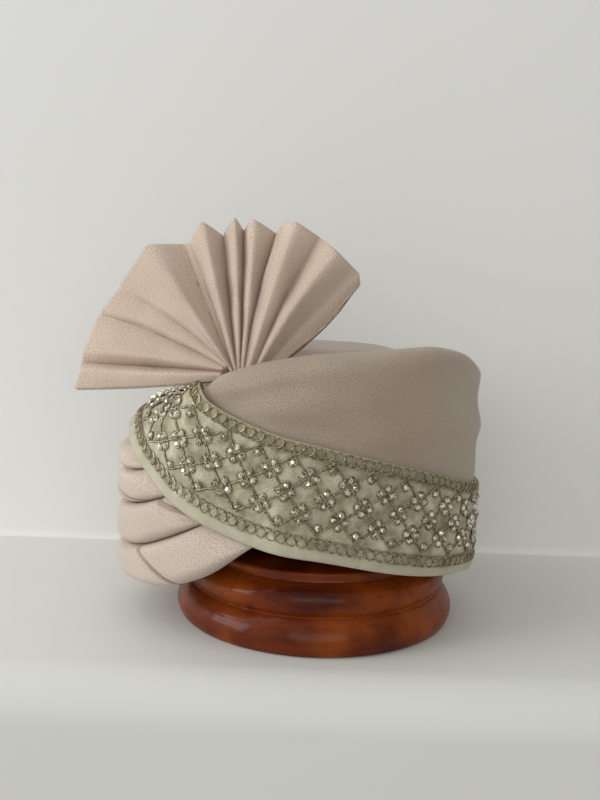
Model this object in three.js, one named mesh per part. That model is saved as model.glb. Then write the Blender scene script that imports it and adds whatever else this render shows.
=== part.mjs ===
// A tied turban (pagri) on a turned wooden stand, in millimetres, +Z up.
// The origin is the middle of the stand's foot, on the surface that it stands on.
// The brow faces -X and the nape +X. The near side, with the fan of pleats, faces -Y.

import * as THREE from 'three';

const { degToRad, lerp, clamp, smoothstep } = THREE.MathUtils;

// Clearance between pieces that touch on the real object.
const GAP = 0.4;

// Plan of the wound wall: an ellipse a little forward of the stand's axis.
const WALL = {
  centreX: -9.7,
  halfLength: 114.2,
  halfWidth: 93,
  thickness: 12,
  innerCorner: 1,
  puff: 2.5,
  puffFrom: 4,
  puffHeight: 15,
  stations: 60,
};

// Heights round the turban, by degrees away from the brow. `rim` is the wall's lower edge. `low` and
// `high` are the band's edges, measured up the wall and over its shoulder. `shoulder` is the radius by
// which the wall turns in at its top, `lip` how far it then runs in level, and `nearTop` and `farTop`
// the height that it reaches on each side.
const SECTIONS = [
  { at: 0, rim: 38, low: 124, high: 186, shoulder: 29, lip: 29, nearTop: 142.5, farTop: 142.5 },
  { at: 20, rim: 38, low: 117, high: 184, shoulder: 29, lip: 26, nearTop: 142.8, farTop: 142.8 },
  { at: 35, rim: 39, low: 103.5, high: 176, shoulder: 26, lip: 18, nearTop: 144.5, farTop: 146 },
  { at: 45, rim: 43, low: 93, high: 167.5, shoulder: 16, lip: 12, nearTop: 150.5, farTop: 152 },
  { at: 55, rim: 51, low: 84.3, high: 160, shoulder: 11, lip: 4, nearTop: 161, farTop: 160 },
  { at: 65, rim: 62, low: 76.5, high: 149, shoulder: 11, lip: 0, nearTop: 169.5, farTop: 166.5 },
  { at: 80, rim: 70, low: 67.5, high: 138, shoulder: 11, lip: 0, nearTop: 177.5, farTop: 170.5 },
  { at: 95, rim: 67, low: 62, high: 131, shoulder: 11, lip: 0, nearTop: 182, farTop: 171.5 },
  { at: 120, rim: 57, low: 51.5, high: 118.7, shoulder: 11, lip: 0, nearTop: 184.5, farTop: 171.5 },
  { at: 135, rim: 51, low: 46.5, high: 111, shoulder: 9, lip: 0, nearTop: 184.5, farTop: 170.5 },
  { at: 150, rim: 47, low: 43.3, high: 103, shoulder: 7, lip: 0, nearTop: 179.5, farTop: 169.5 },
  { at: 180, rim: 41, low: 37, high: 95, shoulder: 6, lip: 0, nearTop: 169.5, farTop: 169.5 },
];

const CAP = { apex: 182, edge: 164, belowTop: 5, thickness: 2.5, flat: 0.42, rings: 7 };

const BAND = {
  thickness: 2,
  clearance: 0.7,
  overRolls: 2,
  overRollEdge: 2.8,
  edgeReach: 12,
  rollsReach: [50, 110],
  rollsEnd: [82, 104],
  cornerAt: 53,
  cornerReach: 20,
  cornerLift: 2.5,
};

// Creases between the rolls, by degrees away from the brow, from the rolls' foot to their top.
const CREASES = [
  { at: 0, foot: 28, third: 48, second: 75, first: 98, top: 114 },
  { at: 15, foot: 28.5, third: 49.5, second: 76.5, first: 99.5, top: 115.5 },
  { at: 30, foot: 30, third: 54.8, second: 82.5, first: 104, top: 121 },
  { at: 45, foot: 34, third: 65.8, second: 92.5, first: 117, top: 131 },
  { at: 60, foot: 46, third: 80, second: 106, first: 130, top: 150 },
  { at: 85, foot: 76, third: 104, second: 129, first: 154, top: 174 },
];

// One row for each roll. `below` and `above` are its creases, and `end` is how far round from the brow
// it runs before it is tucked away. Where two lengths cross, `crossTop` and `crossFoot` are the angles
// of the seam between them at the roll's top and foot.
const ROLLS = [
  { name: 'roll_1', below: 'first', above: 'top', end: 37 },
  { name: 'roll_2', below: 'second', above: 'first', end: 54, crossTop: 22, crossFoot: 43 },
  { name: 'roll_3', below: 'third', above: 'second', end: 68, crossTop: 40, crossFoot: 62 },
  { name: 'roll_4', below: 'foot', above: 'third', end: 81, crossTop: 29, crossFoot: 50 },
];
const ROLL = { depth: 11, seat: 0.65, tucked: 1.5, tuckFrom: -6, tuckTo: 14, squareness: 4, step: 6 };

// The fan's flat plane: its base, its turn about Z and its lean away from the near side.
const FAN = { base: [-45, -61, 169], turn: -10, lean: 8, thickness: 2, gather: 0.3, steps: 6 };

// One row for each fold, from the brow side round to the back. `along` and `up` place its lower end from
// the base, `angle` and `length` its line, and `depth` how far its outer end stands out of the plane.
const FOLDS = [
  { name: 'hem', along: -18, up: -3, angle: 187.5, length: 95, depth: 0 },
  { name: 'valley', along: -17, up: -0.4, angle: 177.5, length: 92, depth: -3 },
  { name: 'ridge', along: -15.5, up: 0, angle: 165, length: 91, depth: 5 },
  { name: 'valley', along: -14, up: 0, angle: 154, length: 87, depth: -4 },
  { name: 'ridge', along: -12.5, up: 0, angle: 148, length: 87, depth: 0 },
  { name: 'valley', along: -11, up: 0, angle: 140, length: 90, depth: -2 },
  { name: 'ridge', along: -9.5, up: -0.4, angle: 128, length: 96, depth: 7 },
  { name: 'valley', along: -8, up: -0.4, angle: 114.5, length: 85, depth: -7 },
  { name: 'ridge', along: -6.5, up: -0.4, angle: 107.5, length: 95, depth: 6 },
  { name: 'valley', along: -5, up: -0.4, angle: 101, length: 84, depth: -6 },
  { name: 'ridge', along: -3.5, up: -0.4, angle: 97, length: 95, depth: 6 },
  { name: 'valley', along: -2, up: -0.4, angle: 95, length: 86, depth: -5 },
  { name: 'ridge', along: -0.5, up: -0.4, angle: 92, length: 93, depth: 6 },
  { name: 'valley', along: 1, up: -0.4, angle: 83, length: 86, depth: -7 },
  { name: 'ridge', along: 2.5, up: -0.4, angle: 82, length: 93, depth: 6 },
  { name: 'face', along: 4, up: 0.2, angle: 78.5, length: 93, depth: 5 },
  { name: 'valley', along: 6, up: 1, angle: 71.5, length: 86, depth: -3 },
  { name: 'ridge', along: 8.5, up: 3, angle: 63, length: 81, depth: 4 },
  { name: 'hem', along: 17, up: 8, angle: 50, length: 69, depth: -4 },
];

const STAND = {
  footRadius: 91,
  footBulge: 97.5,
  footTop: [86.5, 22.5],
  groove: [85.5, 24],
  ringBulge: 92,
  ringTop: [81, 42.5],
  tierEdge: [78.5, 48],
  tierTop: [66, 54],
  postRadius: 16.5,
  postFrom: 82,
  postTo: 158,
  padRadius: 28,
  padThickness: 8,
  padEdge: 2,
  sides: 44,
  arcSteps: 4,
};

const FINISH = {
  satin: { color: 0xcbb5a5, roughness: 0.55, metalness: 0.05 },
  silk: { color: 0xc6c0a0, roughness: 0.6, metalness: 0.05 },
  mahogany: { color: 0x6b2412, roughness: 0.25, metalness: 0 },
};

// Smooth value of one column of a table, level at the table's two ends.
function lookUp(table, column, at) {
  const last = table.length - 1;
  let row = 0;
  while (row < last - 1 && at > table[row + 1].at) row += 1;
  const slope = (index) => {
    if (index === 0 || index === last) return 0;
    const before = table[index - 1];
    const after = table[index + 1];
    return (after[column] - before[column]) / (after.at - before.at);
  };
  const span = table[row + 1].at - table[row].at;
  const t = clamp((at - table[row].at) / span, 0, 1);
  const level = lerp(table[row][column], table[row + 1][column], t * t * (3 - 2 * t));
  const rise = slope(row) * t * (1 - t) ** 2 - slope(row + 1) * t * t * (1 - t);
  return level + span * rise;
}

const fromBrow = (angle) => Math.abs(180 - angle);

// The turban's heights at an angle round it: 0 is the nape, 90 the far side, 180 the brow.
function formAt(angle) {
  const at = fromBrow(angle);
  const form = {};
  for (const column of ['rim', 'low', 'high', 'shoulder', 'lip']) {
    form[column] = lookUp(SECTIONS, column, at);
  }
  form.top = lookUp(SECTIONS, angle > 180 ? 'nearTop' : 'farTop', at);
  form.turnsAt = form.top - form.shoulder;
  form.end = form.turnsAt + form.shoulder * Math.PI / 2 + form.lip;
  return form;
}

// A point at a height, moved straight out from the wall's plan ellipse.
function planPoint(angle, outward, height) {
  const turn = degToRad(angle);
  const x = WALL.halfLength * Math.cos(turn);
  const y = WALL.halfWidth * Math.sin(turn);
  const normal = new THREE.Vector2(x / WALL.halfLength ** 2, y / WALL.halfWidth ** 2).normalize();
  return new THREE.Vector3(WALL.centreX + x + normal.x * outward, y + normal.y * outward, height);
}

// A point on the wall's outside, `up` along it from the floor and over the shoulder, lifted off it.
function wallPoint(angle, up, lift) {
  const form = formAt(angle);
  const turn = clamp((up - form.turnsAt) / form.shoulder, 0, Math.PI / 2);
  const level = Math.max(0, up - form.turnsAt - form.shoulder * Math.PI / 2);
  const inset = form.shoulder * (1 - Math.cos(turn)) + level;
  const height = Math.min(up, form.turnsAt) + (form.shoulder + lift) * Math.sin(turn);
  return planPoint(angle, lift * Math.cos(turn) - inset, height);
}

// A point on the wall's inside: `turned` runs from 0, where it starts to turn in, to 1 at its end.
function innerPoint(angle, turned) {
  const form = formAt(angle);
  const radius = Math.max(form.shoulder - WALL.thickness, WALL.innerCorner);
  const turn = turned * Math.PI / 2;
  const inset = WALL.thickness + radius * (1 - Math.cos(turn)) + form.lip * turned ** 3;
  return planPoint(angle, -inset, form.turnsAt + radius * Math.sin(turn));
}

// A closed skin through sections of equal length, joined end to end as a ring or capped at both ends.
// Each four-sided cell is split along its shorter diagonal.
function loft(sections, ring = false) {
  const count = sections[0].length;
  const points = sections.flat();
  const faces = [];
  const spans = ring ? sections.length : sections.length - 1;
  for (let i = 0; i < spans; i += 1) {
    const here = i * count;
    const next = ((i + 1) % sections.length) * count;
    for (let k = 0; k < count; k += 1) {
      const after = (k + 1) % count;
      const corners = [here + k, next + k, next + after, here + after];
      const [a, b, c, d] = corners.map((corner) => points[corner]);
      if (a.distanceTo(c) > b.distanceTo(d)) corners.push(corners.shift());
      faces.push(corners[0], corners[1], corners[2]);
      faces.push(corners[0], corners[2], corners[3]);
    }
  }
  const capEnd = (section, reversed) => {
    const start = section * count;
    const middle = points.length;
    const sum = sections[section].reduce((total, p) => total.add(p), new THREE.Vector3());
    points.push(sum.divideScalar(count));
    for (let k = 0; k < count; k += 1) {
      const after = (k + 1) % count;
      faces.push(middle, start + (reversed ? after : k), start + (reversed ? k : after));
    }
  };
  if (!ring) {
    capEnd(0, false);
    capEnd(sections.length - 1, true);
  }
  const geometry = new THREE.BufferGeometry().setFromPoints(points);
  geometry.setIndex(faces);
  geometry.computeVertexNormals();
  return geometry;
}

const stationAngles = Array.from({ length: WALL.stations }, (_, i) => (i * 360) / WALL.stations);

// The wound wall: up its outside, over the shoulder, and back down its inside to the rim.
function crownWrap() {
  const seatShares = [0, 0.5];
  const upShares = [0, 1 / 3, 2 / 3, 1];
  const turnShares = [0.2, 0.4, 0.6, 0.8, 1];
  const sections = stationAngles.map((angle) => {
    const form = formAt(angle);
    const seat = Math.min(form.high, form.turnsAt - WALL.puffHeight);
    const ups = [
      ...seatShares.map((share) => lerp(form.rim, seat, share)),
      ...upShares.map((share) => lerp(seat, form.turnsAt, share)),
      ...turnShares.map((share) => lerp(form.turnsAt, form.end, share)),
    ];
    const outside = ups.map((up) => {
      const above = up - form.high - WALL.puffFrom;
      const lift = WALL.puff * smoothstep(above, 0, WALL.puffHeight);
      return wallPoint(angle, up, lift);
    });
    const inside = [1, 0.75, 0.5, 0.25, 0].map((turned) => innerPoint(angle, turned));
    inside.push(planPoint(angle, -WALL.thickness, form.rim));
    return [...outside, ...inside];
  });
  return loft(sections, true);
}

// The cloth top: a flat-topped dome that dips to meet the wall's inside all round.
function crownCap() {
  const ringAt = (share, drop) => stationAngles.map((angle) => {
    const form = formAt(angle);
    const inset = Math.max(WALL.thickness + WALL.innerCorner, form.shoulder) + form.lip + GAP;
    const edgeHeight = Math.min(CAP.edge, form.top - CAP.belowTop);
    const height = lerp(CAP.apex, edgeHeight, smoothstep(share, CAP.flat, 1)) - drop;
    const edge = planPoint(angle, -inset, height);
    return new THREE.Vector3(edge.x * share, edge.y * share, height);
  });
  const shares = Array.from({ length: CAP.rings }, (_, i) => lerp(CAP.flat, 1, i / (CAP.rings - 1)));
  const above = shares.map((share) => ringAt(share, 0));
  const below = shares.map((share) => ringAt(share, CAP.thickness)).reverse();
  return loft([...above, ...below]);
}

// How far the band stands off the wall at a distance up from its lower edge.
function bandLift(angle, fromEdge) {
  const overRolls = 1 - smoothstep(fromBrow(angle), ...BAND.rollsEnd);
  const edge = BAND.overRollEdge * (1 - smoothstep(fromEdge, 0, BAND.edgeReach));
  const rollLift = overRolls * (BAND.overRolls + edge) * (1 - smoothstep(fromEdge, ...BAND.rollsReach));
  const fromCorner = Math.abs(fromBrow(angle) - BAND.cornerAt);
  return BAND.clearance + rollLift + BAND.cornerLift * (1 - smoothstep(fromCorner, 0, BAND.cornerReach));
}

// The band: one strip right round, high over the brow and low at the nape.
function band() {
  const shares = [0, 0.06, 0.14, 0.26, 0.4, 0.54, 0.66, 0.76, 0.84, 0.92, 1];
  const sections = stationAngles.map((angle) => {
    const { low, high } = formAt(angle);
    const side = (offset) => shares.map((share) => {
      const up = lerp(low, high, share);
      return wallPoint(angle, up, bandLift(angle, up - low) + offset);
    });
    return [...side(BAND.thickness), ...side(0).reverse()];
  });
  return loft(sections, true);
}

// One length of a roll between two seams. Each seam gives an angle for a place from foot to top.
function rollLength(roll, fromSeam, toSeam, steps) {
  const outer = [-1, -0.93, -0.75, -0.4, 0, 0.4, 0.75, 0.93, 1];
  const back = [0.6, 0, -0.6];
  const pointAt = (place, bulge, share) => {
    const angle = lerp(fromSeam(place), toSeam(place), share);
    const at = fromBrow(angle);
    const below = lookUp(CREASES, roll.below, at) + GAP / 2;
    const above = lookUp(CREASES, roll.above, at) - GAP / 2;
    const up = lerp(below, above, (place + 1) / 2);
    const shown = smoothstep(formAt(angle).low - up, ROLL.tuckFrom, ROLL.tuckTo);
    return wallPoint(angle, up, ROLL.seat + bulge * lerp(ROLL.tucked, ROLL.depth, shown));
  };
  const bulgeAt = (place) => Math.sqrt(1 - Math.abs(place) ** ROLL.squareness);
  const sections = Array.from({ length: steps + 1 }, (_, i) => [
    ...outer.map((place) => pointAt(place, bulgeAt(place), i / steps)),
    ...back.map((place) => pointAt(place, 0, i / steps)),
  ]);
  return loft(sections);
}

// A roll is one length from side to side, or two that meet at a slanting seam.
function rolls() {
  const made = [];
  for (const roll of ROLLS) {
    const nearEnd = () => 180 + roll.end;
    const farEnd = () => 180 - roll.end;
    const stepsFor = (degrees) => Math.ceil(degrees / ROLL.step);
    if (roll.crossTop === undefined) {
      made.push([roll.name, rollLength(roll, farEnd, nearEnd, stepsFor(2 * roll.end))]);
      continue;
    }
    const seam = (slack) => (place) => 180 + slack + lerp(roll.crossFoot, roll.crossTop, (place + 1) / 2);
    const slack = GAP / 4;
    const nearSteps = stepsFor(roll.end - roll.crossTop);
    const farSteps = stepsFor(roll.end + roll.crossTop);
    made.push([`${roll.name}_near`, rollLength(roll, seam(slack), nearEnd, nearSteps)]);
    made.push([`${roll.name}_far`, rollLength(roll, farEnd, seam(-slack), farSteps)]);
  }
  return made;
}

// The fan: a sheet folded along the rows of FOLDS, gathered to a narrow base.
function fan() {
  const turn = degToRad(FAN.turn);
  const lean = degToRad(FAN.lean);
  const along = new THREE.Vector3(Math.cos(turn), Math.sin(turn), 0);
  const level = new THREE.Vector3(Math.sin(turn), -Math.cos(turn), 0);
  const up = new THREE.Vector3(0, 0, Math.cos(lean)).addScaledVector(level, -Math.sin(lean));
  const out = new THREE.Vector3().crossVectors(along, up);
  const pointAt = (fold, share, offset) => {
    const reach = fold.length * share;
    const angle = degToRad(fold.angle);
    const depth = fold.depth * lerp(FAN.gather, 1, share) + offset;
    return new THREE.Vector3(...FAN.base)
      .addScaledVector(along, fold.along + reach * Math.cos(angle))
      .addScaledVector(up, fold.up + reach * Math.sin(angle))
      .addScaledVector(out, depth);
  };
  const shares = Array.from({ length: FAN.steps + 1 }, (_, i) => i / FAN.steps);
  const sections = FOLDS.map((fold) => [
    ...shares.map((share) => pointAt(fold, share, FAN.thickness / 2)),
    ...shares.map((share) => pointAt(fold, share, -FAN.thickness / 2)).reverse(),
  ]);
  return loft(sections);
}

// The stand: a turned foot, ring and tier, and a slender post with a pad under the cap.
function stand() {
  const padTop = CAP.apex - CAP.thickness - GAP;
  const padFoot = padTop - STAND.padThickness;
  const profile = new THREE.Path();
  profile.moveTo(0, 0);
  profile.lineTo(STAND.footRadius, 0);
  profile.quadraticCurveTo(STAND.footBulge, STAND.footTop[1] / 2, ...STAND.footTop);
  profile.lineTo(...STAND.groove);
  profile.quadraticCurveTo(STAND.ringBulge, lerp(STAND.groove[1], STAND.ringTop[1], 0.6), ...STAND.ringTop);
  profile.lineTo(...STAND.tierEdge);
  profile.quadraticCurveTo(STAND.tierEdge[0], STAND.tierTop[1], ...STAND.tierTop);
  profile.quadraticCurveTo(STAND.postRadius, STAND.tierTop[1], STAND.postRadius, STAND.postFrom);
  profile.lineTo(STAND.postRadius, STAND.postTo);
  profile.quadraticCurveTo(STAND.postRadius, padFoot, STAND.padRadius, padFoot);
  profile.lineTo(STAND.padRadius, padTop - STAND.padEdge);
  profile.lineTo(STAND.padRadius - STAND.padEdge, padTop);
  profile.lineTo(0, padTop);
  const geometry = new THREE.LatheGeometry(profile.getPoints(STAND.arcSteps), STAND.sides);
  return geometry.rotateX(Math.PI / 2);
}

function piece(name, geometry, finish) {
  const mesh = new THREE.Mesh(geometry, new THREE.MeshStandardMaterial(finish));
  mesh.name = name;
  return mesh;
}

const turban = new THREE.Group();
turban.add(piece('crown_wrap', crownWrap(), FINISH.satin));
turban.add(piece('crown_cap', crownCap(), FINISH.satin));
turban.add(piece('band', band(), FINISH.silk));
for (const [name, geometry] of rolls()) turban.add(piece(name, geometry, FINISH.satin));
turban.add(piece('fan', fan(), FINISH.satin));

const model = new THREE.Group();
model.add(turban);
model.add(piece('stand', stand(), FINISH.mahogany));

export default model;
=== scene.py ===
"""The looks of a tied turban pagri on a turned wooden stand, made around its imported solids.

Lengths are millimetres, and meshes are written in metres. Angles run in degrees round the turban:
0 is the nape (+X), 90 the far side (+Y), 180 the brow (-X) and 270 the near side (-Y) with the fan.
"""

import logging
import math
from dataclasses import dataclass, field, replace
from enum import Enum
from typing import Callable, NamedTuple, Sequence

import bmesh
import bpy
import numpy as np
from mathutils import Matrix, Vector


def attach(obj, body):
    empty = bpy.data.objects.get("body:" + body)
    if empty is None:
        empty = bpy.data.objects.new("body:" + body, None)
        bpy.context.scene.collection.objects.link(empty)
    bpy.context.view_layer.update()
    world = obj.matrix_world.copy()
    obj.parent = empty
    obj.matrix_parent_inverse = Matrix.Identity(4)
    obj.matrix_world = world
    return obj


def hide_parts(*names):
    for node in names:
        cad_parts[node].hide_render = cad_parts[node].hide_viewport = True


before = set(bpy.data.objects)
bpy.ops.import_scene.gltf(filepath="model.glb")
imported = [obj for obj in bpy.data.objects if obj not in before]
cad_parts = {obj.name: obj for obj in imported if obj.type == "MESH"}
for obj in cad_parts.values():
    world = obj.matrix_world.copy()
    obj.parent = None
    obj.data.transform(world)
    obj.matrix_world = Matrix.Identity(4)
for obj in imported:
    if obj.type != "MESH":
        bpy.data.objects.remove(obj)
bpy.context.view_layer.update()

LOG = logging.getLogger("turban")
BODY = "root"
MM = 0.001
FULL_TURN = 360.0

Array = np.ndarray
Colour = tuple[float, float, float]


class Slot(Enum):
    """The record's material slots."""

    SATIN = "satin"
    SILK = "band_silk"
    WOOD = "mahogany"
    THREAD = "metal_thread"
    STONE = "stone"


class Fold(Enum):
    """How the cloth of the fan turns at a fold line."""

    HEM = "hem"
    VALLEY = "valley"
    RIDGE = "ridge"
    FACE = "face"


class Section(NamedTuple):
    """Heights of the turban at one angle away from the brow."""

    at: float
    rim: float
    low: float
    high: float
    shoulder: float
    lip: float
    near_top: float
    far_top: float


class Crease(NamedTuple):
    """Heights of the creases between the rolls at one angle away from the brow."""

    at: float
    foot: float
    third: float
    second: float
    first: float
    top: float


class RollRow(NamedTuple):
    """One roll: its creases, where it is tucked away, and where its two lengths cross."""

    name: str
    below: str
    above: str
    end: float
    cross_top: float | None = None
    cross_foot: float | None = None


class FoldRow(NamedTuple):
    """One fold line of the fan, from its gathered base to its outer end, with its depth on the way."""

    kind: Fold
    along: float
    up: float
    angle: float
    length: float
    bow: float
    middle: float
    depth: float


class Drape(NamedTuple):
    """A soft ridge or hollow that runs straight across the unrolled wall."""

    from_angle: float
    from_up: float
    to_angle: float
    to_up: float
    width: float
    height: float


class Pucker(NamedTuple):
    """A short crease pressed into the fan along one of its fold lines."""

    place: float
    start: float
    end: float
    width: float
    depth: float


SECTIONS = (
    Section(0, 38, 124, 186, 29, 29, 142.5, 142.5),
    Section(20, 38, 117, 184, 29, 26, 142.8, 142.8),
    Section(35, 39, 103.5, 176, 26, 18, 144.5, 146),
    Section(45, 43, 93, 167.5, 16, 12, 150.5, 152),
    Section(55, 51, 84.3, 160, 11, 4, 161, 160),
    Section(65, 62, 76.5, 149, 11, 0, 169.5, 166.5),
    Section(80, 70, 67.5, 138, 11, 0, 177.5, 170.5),
    Section(95, 67, 62, 131, 11, 0, 182, 171.5),
    Section(120, 57, 51.5, 118.7, 10, 0, 185.5, 171.5),
    Section(135, 51, 46.5, 111, 7, 0, 187, 170.5),
    Section(150, 47, 43.3, 103, 5, 0, 183, 169.5),
    Section(180, 41, 37, 95, 5, 0, 170, 169.5),
)

CREASES = (
    Crease(0, 28, 48, 75, 98, 114),
    Crease(15, 28.5, 49.5, 76.5, 99.5, 115.5),
    Crease(30, 30, 54.8, 82.5, 104, 121),
    Crease(45, 34, 65.8, 92.5, 117, 131),
    Crease(60, 46, 80, 106, 130, 150),
    Crease(85, 76, 104, 129, 154, 174),
)

ROLL_ROWS = (
    RollRow("roll_1", "first", "top", 37),
    RollRow("roll_2", "second", "first", 54, -16, 34),
    RollRow("roll_3", "third", "second", 68, 40, 62),
    RollRow("roll_4", "foot", "third", 81, 29, 50),
)

FOLD_ROWS = (
    FoldRow(Fold.HEM, -20, -3.5, 186.5, 92, 0.5, -6, -4),
    FoldRow(Fold.RIDGE, -20, -6.5, 186.5, 92.5, 1, -3, -1.5),
    FoldRow(Fold.VALLEY, -20, -4.5, 186.5, 92.5, 0.5, -2, -1),
    FoldRow(Fold.HEM, -18, -5.5, 186.5, 95, 0.5, 1.5, 1),
    FoldRow(Fold.RIDGE, -18, -2.5, 182, 90.5, 0.5, 4, 3),
    FoldRow(Fold.VALLEY, -18, 0, 180, 91.5, -0.5, -7, -1),
    FoldRow(Fold.RIDGE, -17, 1, 174.5, 90.5, -1, 4.5, 2),
    FoldRow(Fold.VALLEY, -16, 2, 160.5, 88.5, -3, -4, -0.5),
    FoldRow(Fold.RIDGE, -14.5, 3, 157, 87.5, -2.5, 2, 0.5),
    FoldRow(Fold.VALLEY, -13.5, 3, 149.5, 86.5, -4, -1.5, 0.5),
    FoldRow(Fold.RIDGE, -12.5, 3.5, 145.5, 87.5, -4.5, 3, 1.5),
    FoldRow(Fold.RIDGE, -11, -0.5, 127.5, 94.5, -1, 8, 7),
    FoldRow(Fold.VALLEY, -11, -0.5, 116, 86.5, 1, -5, -5),
    FoldRow(Fold.VALLEY, -10.5, 0, 113, 85.5, -0.5, -4, -4),
    FoldRow(Fold.RIDGE, -8.5, 0, 106, 93.5, 0, 7, 7),
    FoldRow(Fold.VALLEY, -9, 0, 100, 84.5, 1, -7, -6),
    FoldRow(Fold.RIDGE, -7, 0, 94.5, 93.5, -1, 6, 6),
    FoldRow(Fold.VALLEY, -7, 0, 92.5, 86.5, 0.5, -7, -6),
    FoldRow(Fold.RIDGE, -5, 0, 88.5, 92.5, -1.5, 6, 6),
    FoldRow(Fold.VALLEY, -4.5, 0, 80.5, 87, 3, -7, -7),
    FoldRow(Fold.FACE, -3.5, 0, 78.5, 93, 1, 3, 2),
    FoldRow(Fold.RIDGE, -1.5, 0.5, 74.5, 94.5, 0.5, 7, 7),
    FoldRow(Fold.VALLEY, 2, 1.5, 67.5, 90, 3, -5, -3.5),
    FoldRow(Fold.RIDGE, 3, 1.5, 58, 87, 2, 6, 5),
    FoldRow(Fold.FACE, 8.5, 3.5, 48.5, 80.5, 2.5, -9, -7),
    FoldRow(Fold.HEM, 16.5, 5.5, 49.5, 69.5, -2.5, -15, -12),
)

DRAPES = (
    Drape(236, 158, 262, 172, 8, 1.1),
    Drape(240, 150, 280, 174, 8, -0.9),
    Drape(246, 146, 300, 162, 9, 1.0),
    Drape(256, 138, 302, 146, 7, -0.8),
    Drape(268, 132, 318, 138, 8, 0.7),
    Drape(318, 134, 366, 134, 7, 1.7),
    Drape(322, 152, 372, 152, 9, -1.3),
    Drape(60, 130, 110, 152, 9, 0.9),
    Drape(70, 124, 124, 136, 8, -0.8),
    Drape(20, 128, 66, 140, 9, 0.9),
)

PUCKERS = (
    Pucker(11.5, 0.3, 0.9, 0.25, -0.7),
    Pucker(21.5, 0.25, 0.8, 0.25, 0.8),
    Pucker(23.4, 0.3, 0.85, 0.25, -0.7),
)


def lerp(first: Array, last: Array, share: Array) -> Array:
    """The value a share of the way from first to last."""
    return first + (last - first) * share


def smoothstep(value: Array, low: float, high: float) -> Array:
    """Eases from 0 at low to 1 at high."""
    share = np.clip((value - low) / (high - low), 0.0, 1.0)
    return share * share * (3 - 2 * share)


def unit(vectors: Array) -> Array:
    """Vectors of length one, along the last axis."""
    return vectors / np.linalg.norm(vectors, axis=-1, keepdims=True)


def from_brow(angle: Array) -> Array:
    """Degrees away from the brow, either way round."""
    return np.abs(180.0 - np.mod(angle, FULL_TURN))


def look_up(rows: Sequence[NamedTuple], column: str, at: Array) -> Array:
    """A smooth value of one column of a table, level at the table's two ends.

    Args:
        rows: The table, in order of its column `at`.
        column: The name of the column.
        at: Where the value is wanted.

    Returns:
        The values, in the shape of `at`.
    """
    stations = np.array([row.at for row in rows], float)
    values = np.array([getattr(row, column) for row in rows], float)
    slopes = np.zeros_like(values)
    slopes[1:-1] = (values[2:] - values[:-2]) / (stations[2:] - stations[:-2])
    at = np.clip(at, stations[0], stations[-1])
    row = np.clip(np.searchsorted(stations, at, side="right") - 1, 0, len(rows) - 2)
    span = stations[row + 1] - stations[row]
    share = (at - stations[row]) / span
    level = lerp(values[row], values[row + 1], share * share * (3 - 2 * share))
    rise = slopes[row] * share * (1 - share) ** 2 - slopes[row + 1] * share**2 * (1 - share)
    return level + span * rise


def ripple(first: Array, second: Array, size: float, seed: int) -> Array:
    """Smooth seeded waves over two lengths, between about -1 and 1.

    Args:
        first: One coordinate, in the same unit as `size`.
        second: The other coordinate.
        size: About the length of one wave.
        seed: Fixes the waves' directions and phases.

    Returns:
        The waves' height at each place.
    """
    random = np.random.default_rng(seed)
    waves = 5
    height = np.zeros(np.broadcast(first, second).shape)
    for _ in range(waves):
        turn, phase = random.uniform(0, math.tau, 2)
        number = math.tau / size * random.uniform(0.6, 1.5)
        height = height + np.sin(number * (math.cos(turn) * first + math.sin(turn) * second) + phase)
    return height / math.sqrt(waves * 2)


def mesh_object(name: str, vertices: Array, faces: list, uvs: Array | None = None) -> bpy.types.Object:
    """A smooth mesh in metres from points in millimetres, with its faces turned outwards.

    Args:
        name: The object's name.
        vertices: Points in millimetres.
        faces: Vertex numbers of each face.
        uvs: Cloth coordinates in metres for each corner of each face, in order.

    Returns:
        The object, linked to the scene.
    """
    mesh = bpy.data.meshes.new(name)
    mesh.from_pydata((np.asarray(vertices, float) * MM).tolist(), [], faces)
    if uvs is not None:
        layer = mesh.uv_layers.new(name="UVMap")
        layer.data.foreach_set("uv", np.asarray(uvs, np.float32).ravel())
    builder = bmesh.new()
    builder.from_mesh(mesh)
    bmesh.ops.recalc_face_normals(builder, faces=builder.faces)
    builder.to_mesh(mesh)
    builder.free()
    mesh.shade_smooth()
    made = bpy.data.objects.new(name, mesh)
    bpy.context.scene.collection.objects.link(made)
    return made


def skin(name: str, points: Array, uv: Array, ring: bool = False) -> bpy.types.Object:
    """A closed skin through sections that are each a closed loop.

    Args:
        name: The object's name.
        points: Sections by points by three, in millimetres.
        uv: Cloth coordinates in metres, with one more point to each section than `points`, and one
            more section where they form a ring.
        ring: Whether the sections join end to end. Otherwise both ends are capped.

    Returns:
        The object.
    """
    sections, count = points.shape[:2]
    spans = np.arange(sections if ring else sections - 1)
    here, place = (grid.ravel() for grid in np.meshgrid(spans, np.arange(count), indexing="ij"))
    ahead = (here + 1) % sections
    after = (place + 1) % count
    corners = [here * count + place, ahead * count + place, ahead * count + after, here * count + after]
    faces = np.stack(corners, 1).tolist()
    corner_uv = [uv[here, place], uv[here + 1, place], uv[here + 1, place + 1], uv[here, place + 1]]
    uvs = np.stack(corner_uv, 1).reshape(-1, 2)
    vertices = points.reshape(-1, 3)
    if not ring:
        for section in (0, sections - 1):
            start, middle = section * count, len(vertices)
            vertices = np.vstack([vertices, points[section].mean(0)])
            cap = [[middle, start + k, start + (k + 1) % count] for k in range(count)]
            faces += cap
            centre = uv[section].mean(0)
            cap_uv = [[centre, uv[section, k], uv[section, k + 1]] for k in range(count)]
            uvs = np.vstack([uvs, np.reshape(cap_uv, (-1, 2))])
    return mesh_object(name, vertices, faces, uvs)


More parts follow.
